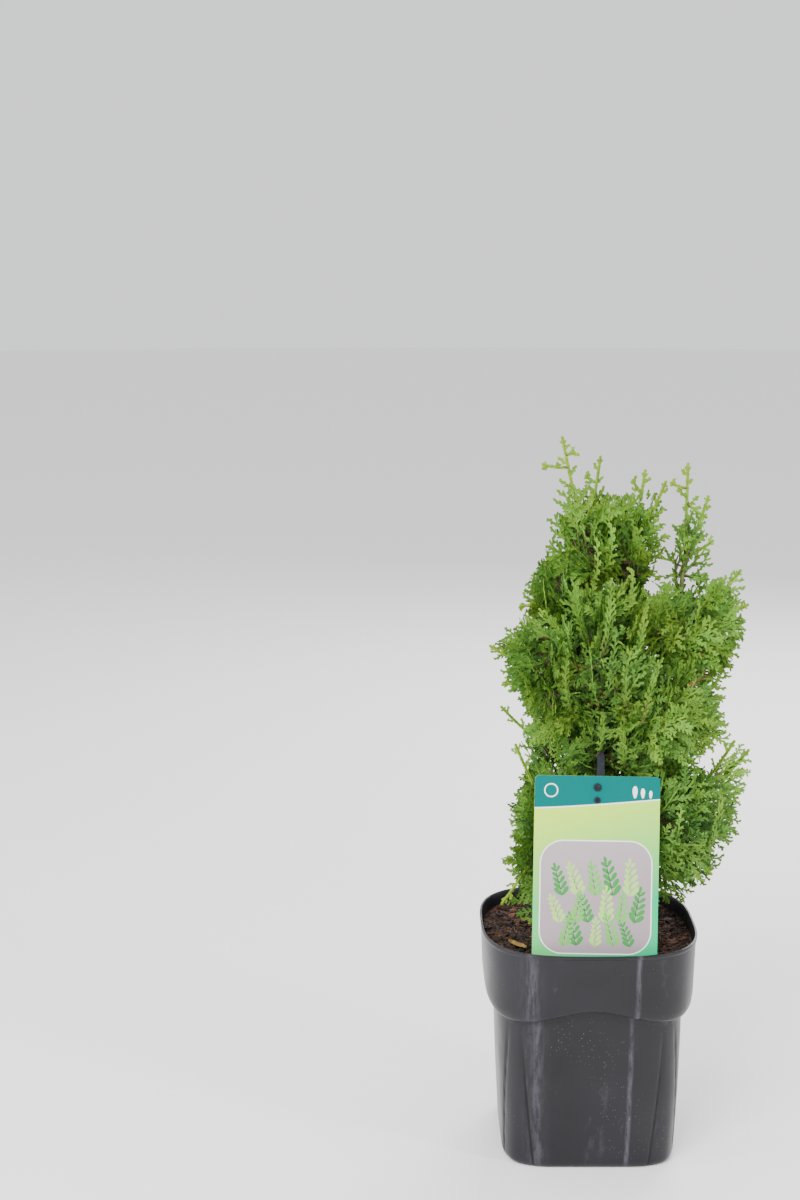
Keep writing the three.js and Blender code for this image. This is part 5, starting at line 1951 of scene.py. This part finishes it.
def make_limb(name, limb, material):
    """A limb drawn as a tapering curve, made a mesh, with the bark's relief pressed in."""
    route = LIMB_ROUTES[name]
    steps = max(8, round(route.length / LIMB_STEP))
    share = np.linspace(0, 1, steps + 1)
    drawn = add_object(bpy.ops.curve.primitive_bezier_curve_add, location=(0, 0, 0))
    drawn.data.splines.clear()
    spline = drawn.data.splines.new("POLY")
    spline.points.add(steps)
    for point, place, radius in zip(spline.points, route.at(share) * MM, limb_radius(limb, share) * MM):
        point.co = (*place, 1)
        point.radius = radius
    drawn.data.dimensions = "3D"
    drawn.data.bevel_mode = "ROUND"
    drawn.data.bevel_depth = 1
    drawn.data.bevel_resolution = 4 if limb["radii"][0] < 3 else 7
    drawn.data.use_fill_caps = True
    bpy.ops.object.convert(target="MESH")
    piece = bpy.context.object
    begin_edit()
    outward_normals()
    end_edit()
    apply_modifier(piece, "SUBSURF", levels=1, render_levels=1, subdivision_type="SIMPLE")
    press_bark(piece, limb)
    shade_smooth(60)
    return finish_piece(piece, f"{name}_bark", material, [name])


def press_bark(piece, limb):
    """Long ridges and peeling strips, moved in along each vertex's normal."""
    depth = 0.16 * limb["radii"][0]
    for vertex in piece.data.vertices:
        place = vertex.co / MM
        strips = noise.noise(Vector((place.x * 0.9, place.y * 0.9, place.z * 0.09)))
        knots = noise.noise(Vector((place.x * 0.25, place.y * 0.25, place.z * 0.16 + 5)))
        vertex.co = vertex.co + vertex.normal * depth * MM * (0.7 * strips + 0.5 * knots - 0.15)


# Operators


class THUJA_OT_pot(bpy.types.Operator):
    """Builds the nursery pot"""

    bl_idname = "thuja.pot"
    bl_label = "Build pot"

    def execute(self, context):
        make_pot(context.scene.thuja_pot)
        return {"FINISHED"}


class THUJA_OT_soil(bpy.types.Operator):
    """Builds the soil with its chips and fibres"""

    bl_idname = "thuja.soil"
    bl_label = "Build soil"

    def execute(self, context):
        settings = context.scene.thuja_pot
        relief = settings.soil_relief / MM
        make_soil_body(settings, relief)
        make_soil_bits(settings, relief)
        make_dry_leaf(settings, relief)
        return {"FINISHED"}


class THUJA_OT_label(bpy.types.Operator):
    """Builds the plant label, its stick and its pins"""

    bl_idname = "thuja.label"
    bl_label = "Build label"

    def execute(self, context):
        make_card(context.scene.thuja_label)
        make_stick(context.scene.thuja_label)
        return {"FINISHED"}


class THUJA_OT_limbs(bpy.types.Operator):
    """Builds the trunk, the second leader and the boughs"""

    bl_idname = "thuja.limbs"
    bl_label = "Build limbs"

    def execute(self, context):
        material = bark_surface(context.scene.thuja_plant)
        for name, limb in LIMBS.items():
            make_limb(name, limb, material)
        return {"FINISHED"}


class THUJA_OT_crown(bpy.types.Operator):
    """Grows the sprays and twigs of the crown"""

    bl_idname = "thuja.crown"
    bl_label = "Grow crown"

    def execute(self, context):
        make_crown(context.scene.thuja_plant)
        return {"FINISHED"}


class THUJA_OT_stage(bpy.types.Operator):
    """Sets up floor, light and camera"""

    bl_idname = "thuja.stage"
    bl_label = "Set stage"

    def execute(self, context):
        settings = context.scene.thuja_stage
        make_floor(settings)
        make_light(settings)
        make_camera(settings)
        return {"FINISHED"}


def make_floor(settings):
    floor = add_object(
        bpy.ops.mesh.primitive_circle_add,
        vertices=64, radius=FLOOR_RADIUS, fill_type="NGON", location=(0, 0, 0),
    )
    floor.name = "floor"
    floor.data.materials.append(Surface("floor", tuple(settings.floor_color), 0.75).material)


def make_light(settings):
    """An even light all round and four rectangular soft lights that look at the plant."""
    world = bpy.data.worlds.new("surround")
    world.use_nodes = True
    background = world.node_tree.nodes["Background"]
    background.inputs["Color"].default_value = (0.93, 0.94, 0.96, 1)
    background.inputs["Strength"].default_value = settings.sky_strength
    bpy.context.scene.world = world
    for name, place, size, share, color in LIGHTS:
        light = add_object(bpy.ops.object.light_add, type="AREA", location=place)
        light.name = name
        light.rotation_euler = (Vector(LIGHT_TARGET) - Vector(place)).to_track_quat("-Z", "Y").to_euler()
        light.data.shape = "RECTANGLE"
        light.data.size, light.data.size_y = size
        light.data.energy = settings.key_power * share
        light.data.color = color


def make_camera(settings):
    """The camera of the photograph: 60 cm above the floor, tilted down."""
    camera = add_object(bpy.ops.object.camera_add, location=tuple(VIEWPOINT * MM))
    camera.name = "camera"
    camera.rotation_euler = (math.pi / 2 - CAMERA_TILT, 0, 0)
    camera.data.lens = settings.lens
    camera.data.sensor_width = 36
    camera.data.clip_end = 50
    bpy.context.scene.camera = camera


class THUJA_PT_panel(bpy.types.Panel):
    """Lists the steps that build the potted thuja"""

    bl_idname = "THUJA_PT_panel"
    bl_label = "Potted Thuja"
    bl_space_type = "VIEW_3D"
    bl_region_type = "UI"
    bl_category = "Thuja"

    def draw(self, context):
        for title, settings, steps in (
            ("Pot and soil", context.scene.thuja_pot, ("thuja.pot", "thuja.soil")),
            ("Plant", context.scene.thuja_plant, ("thuja.limbs", "thuja.crown")),
            ("Label", context.scene.thuja_label, ("thuja.label",)),
            ("Stage", context.scene.thuja_stage, ("thuja.stage",)),
        ):
            box = self.layout.box()
            box.label(text=title)
            for key in settings.__annotations__:
                box.prop(settings, key)
            for step in steps:
                box.operator(step)


SETTINGS = {
    "thuja_pot": ThujaPotSettings,
    "thuja_plant": ThujaPlantSettings,
    "thuja_label": ThujaLabelSettings,
    "thuja_stage": ThujaStageSettings,
}
CLASSES = (
    *SETTINGS.values(), THUJA_OT_pot, THUJA_OT_soil, THUJA_OT_label, THUJA_OT_limbs, THUJA_OT_crown,
    THUJA_OT_stage, THUJA_PT_panel,
)


def register():
    for cls in CLASSES:
        bpy.utils.register_class(cls)
    for name, group in SETTINGS.items():
        setattr(bpy.types.Scene, name, PointerProperty(type=group))


def unregister():
    for name in SETTINGS:
        delattr(bpy.types.Scene, name)
    for cls in reversed(CLASSES):
        bpy.utils.unregister_class(cls)


def main():
    register()
    bpy.ops.thuja.stage()
    bpy.ops.thuja.pot()
    bpy.ops.thuja.soil()
    bpy.ops.thuja.limbs()
    bpy.ops.thuja.crown()
    bpy.ops.thuja.label()


if __name__ == "__main__":
    main()
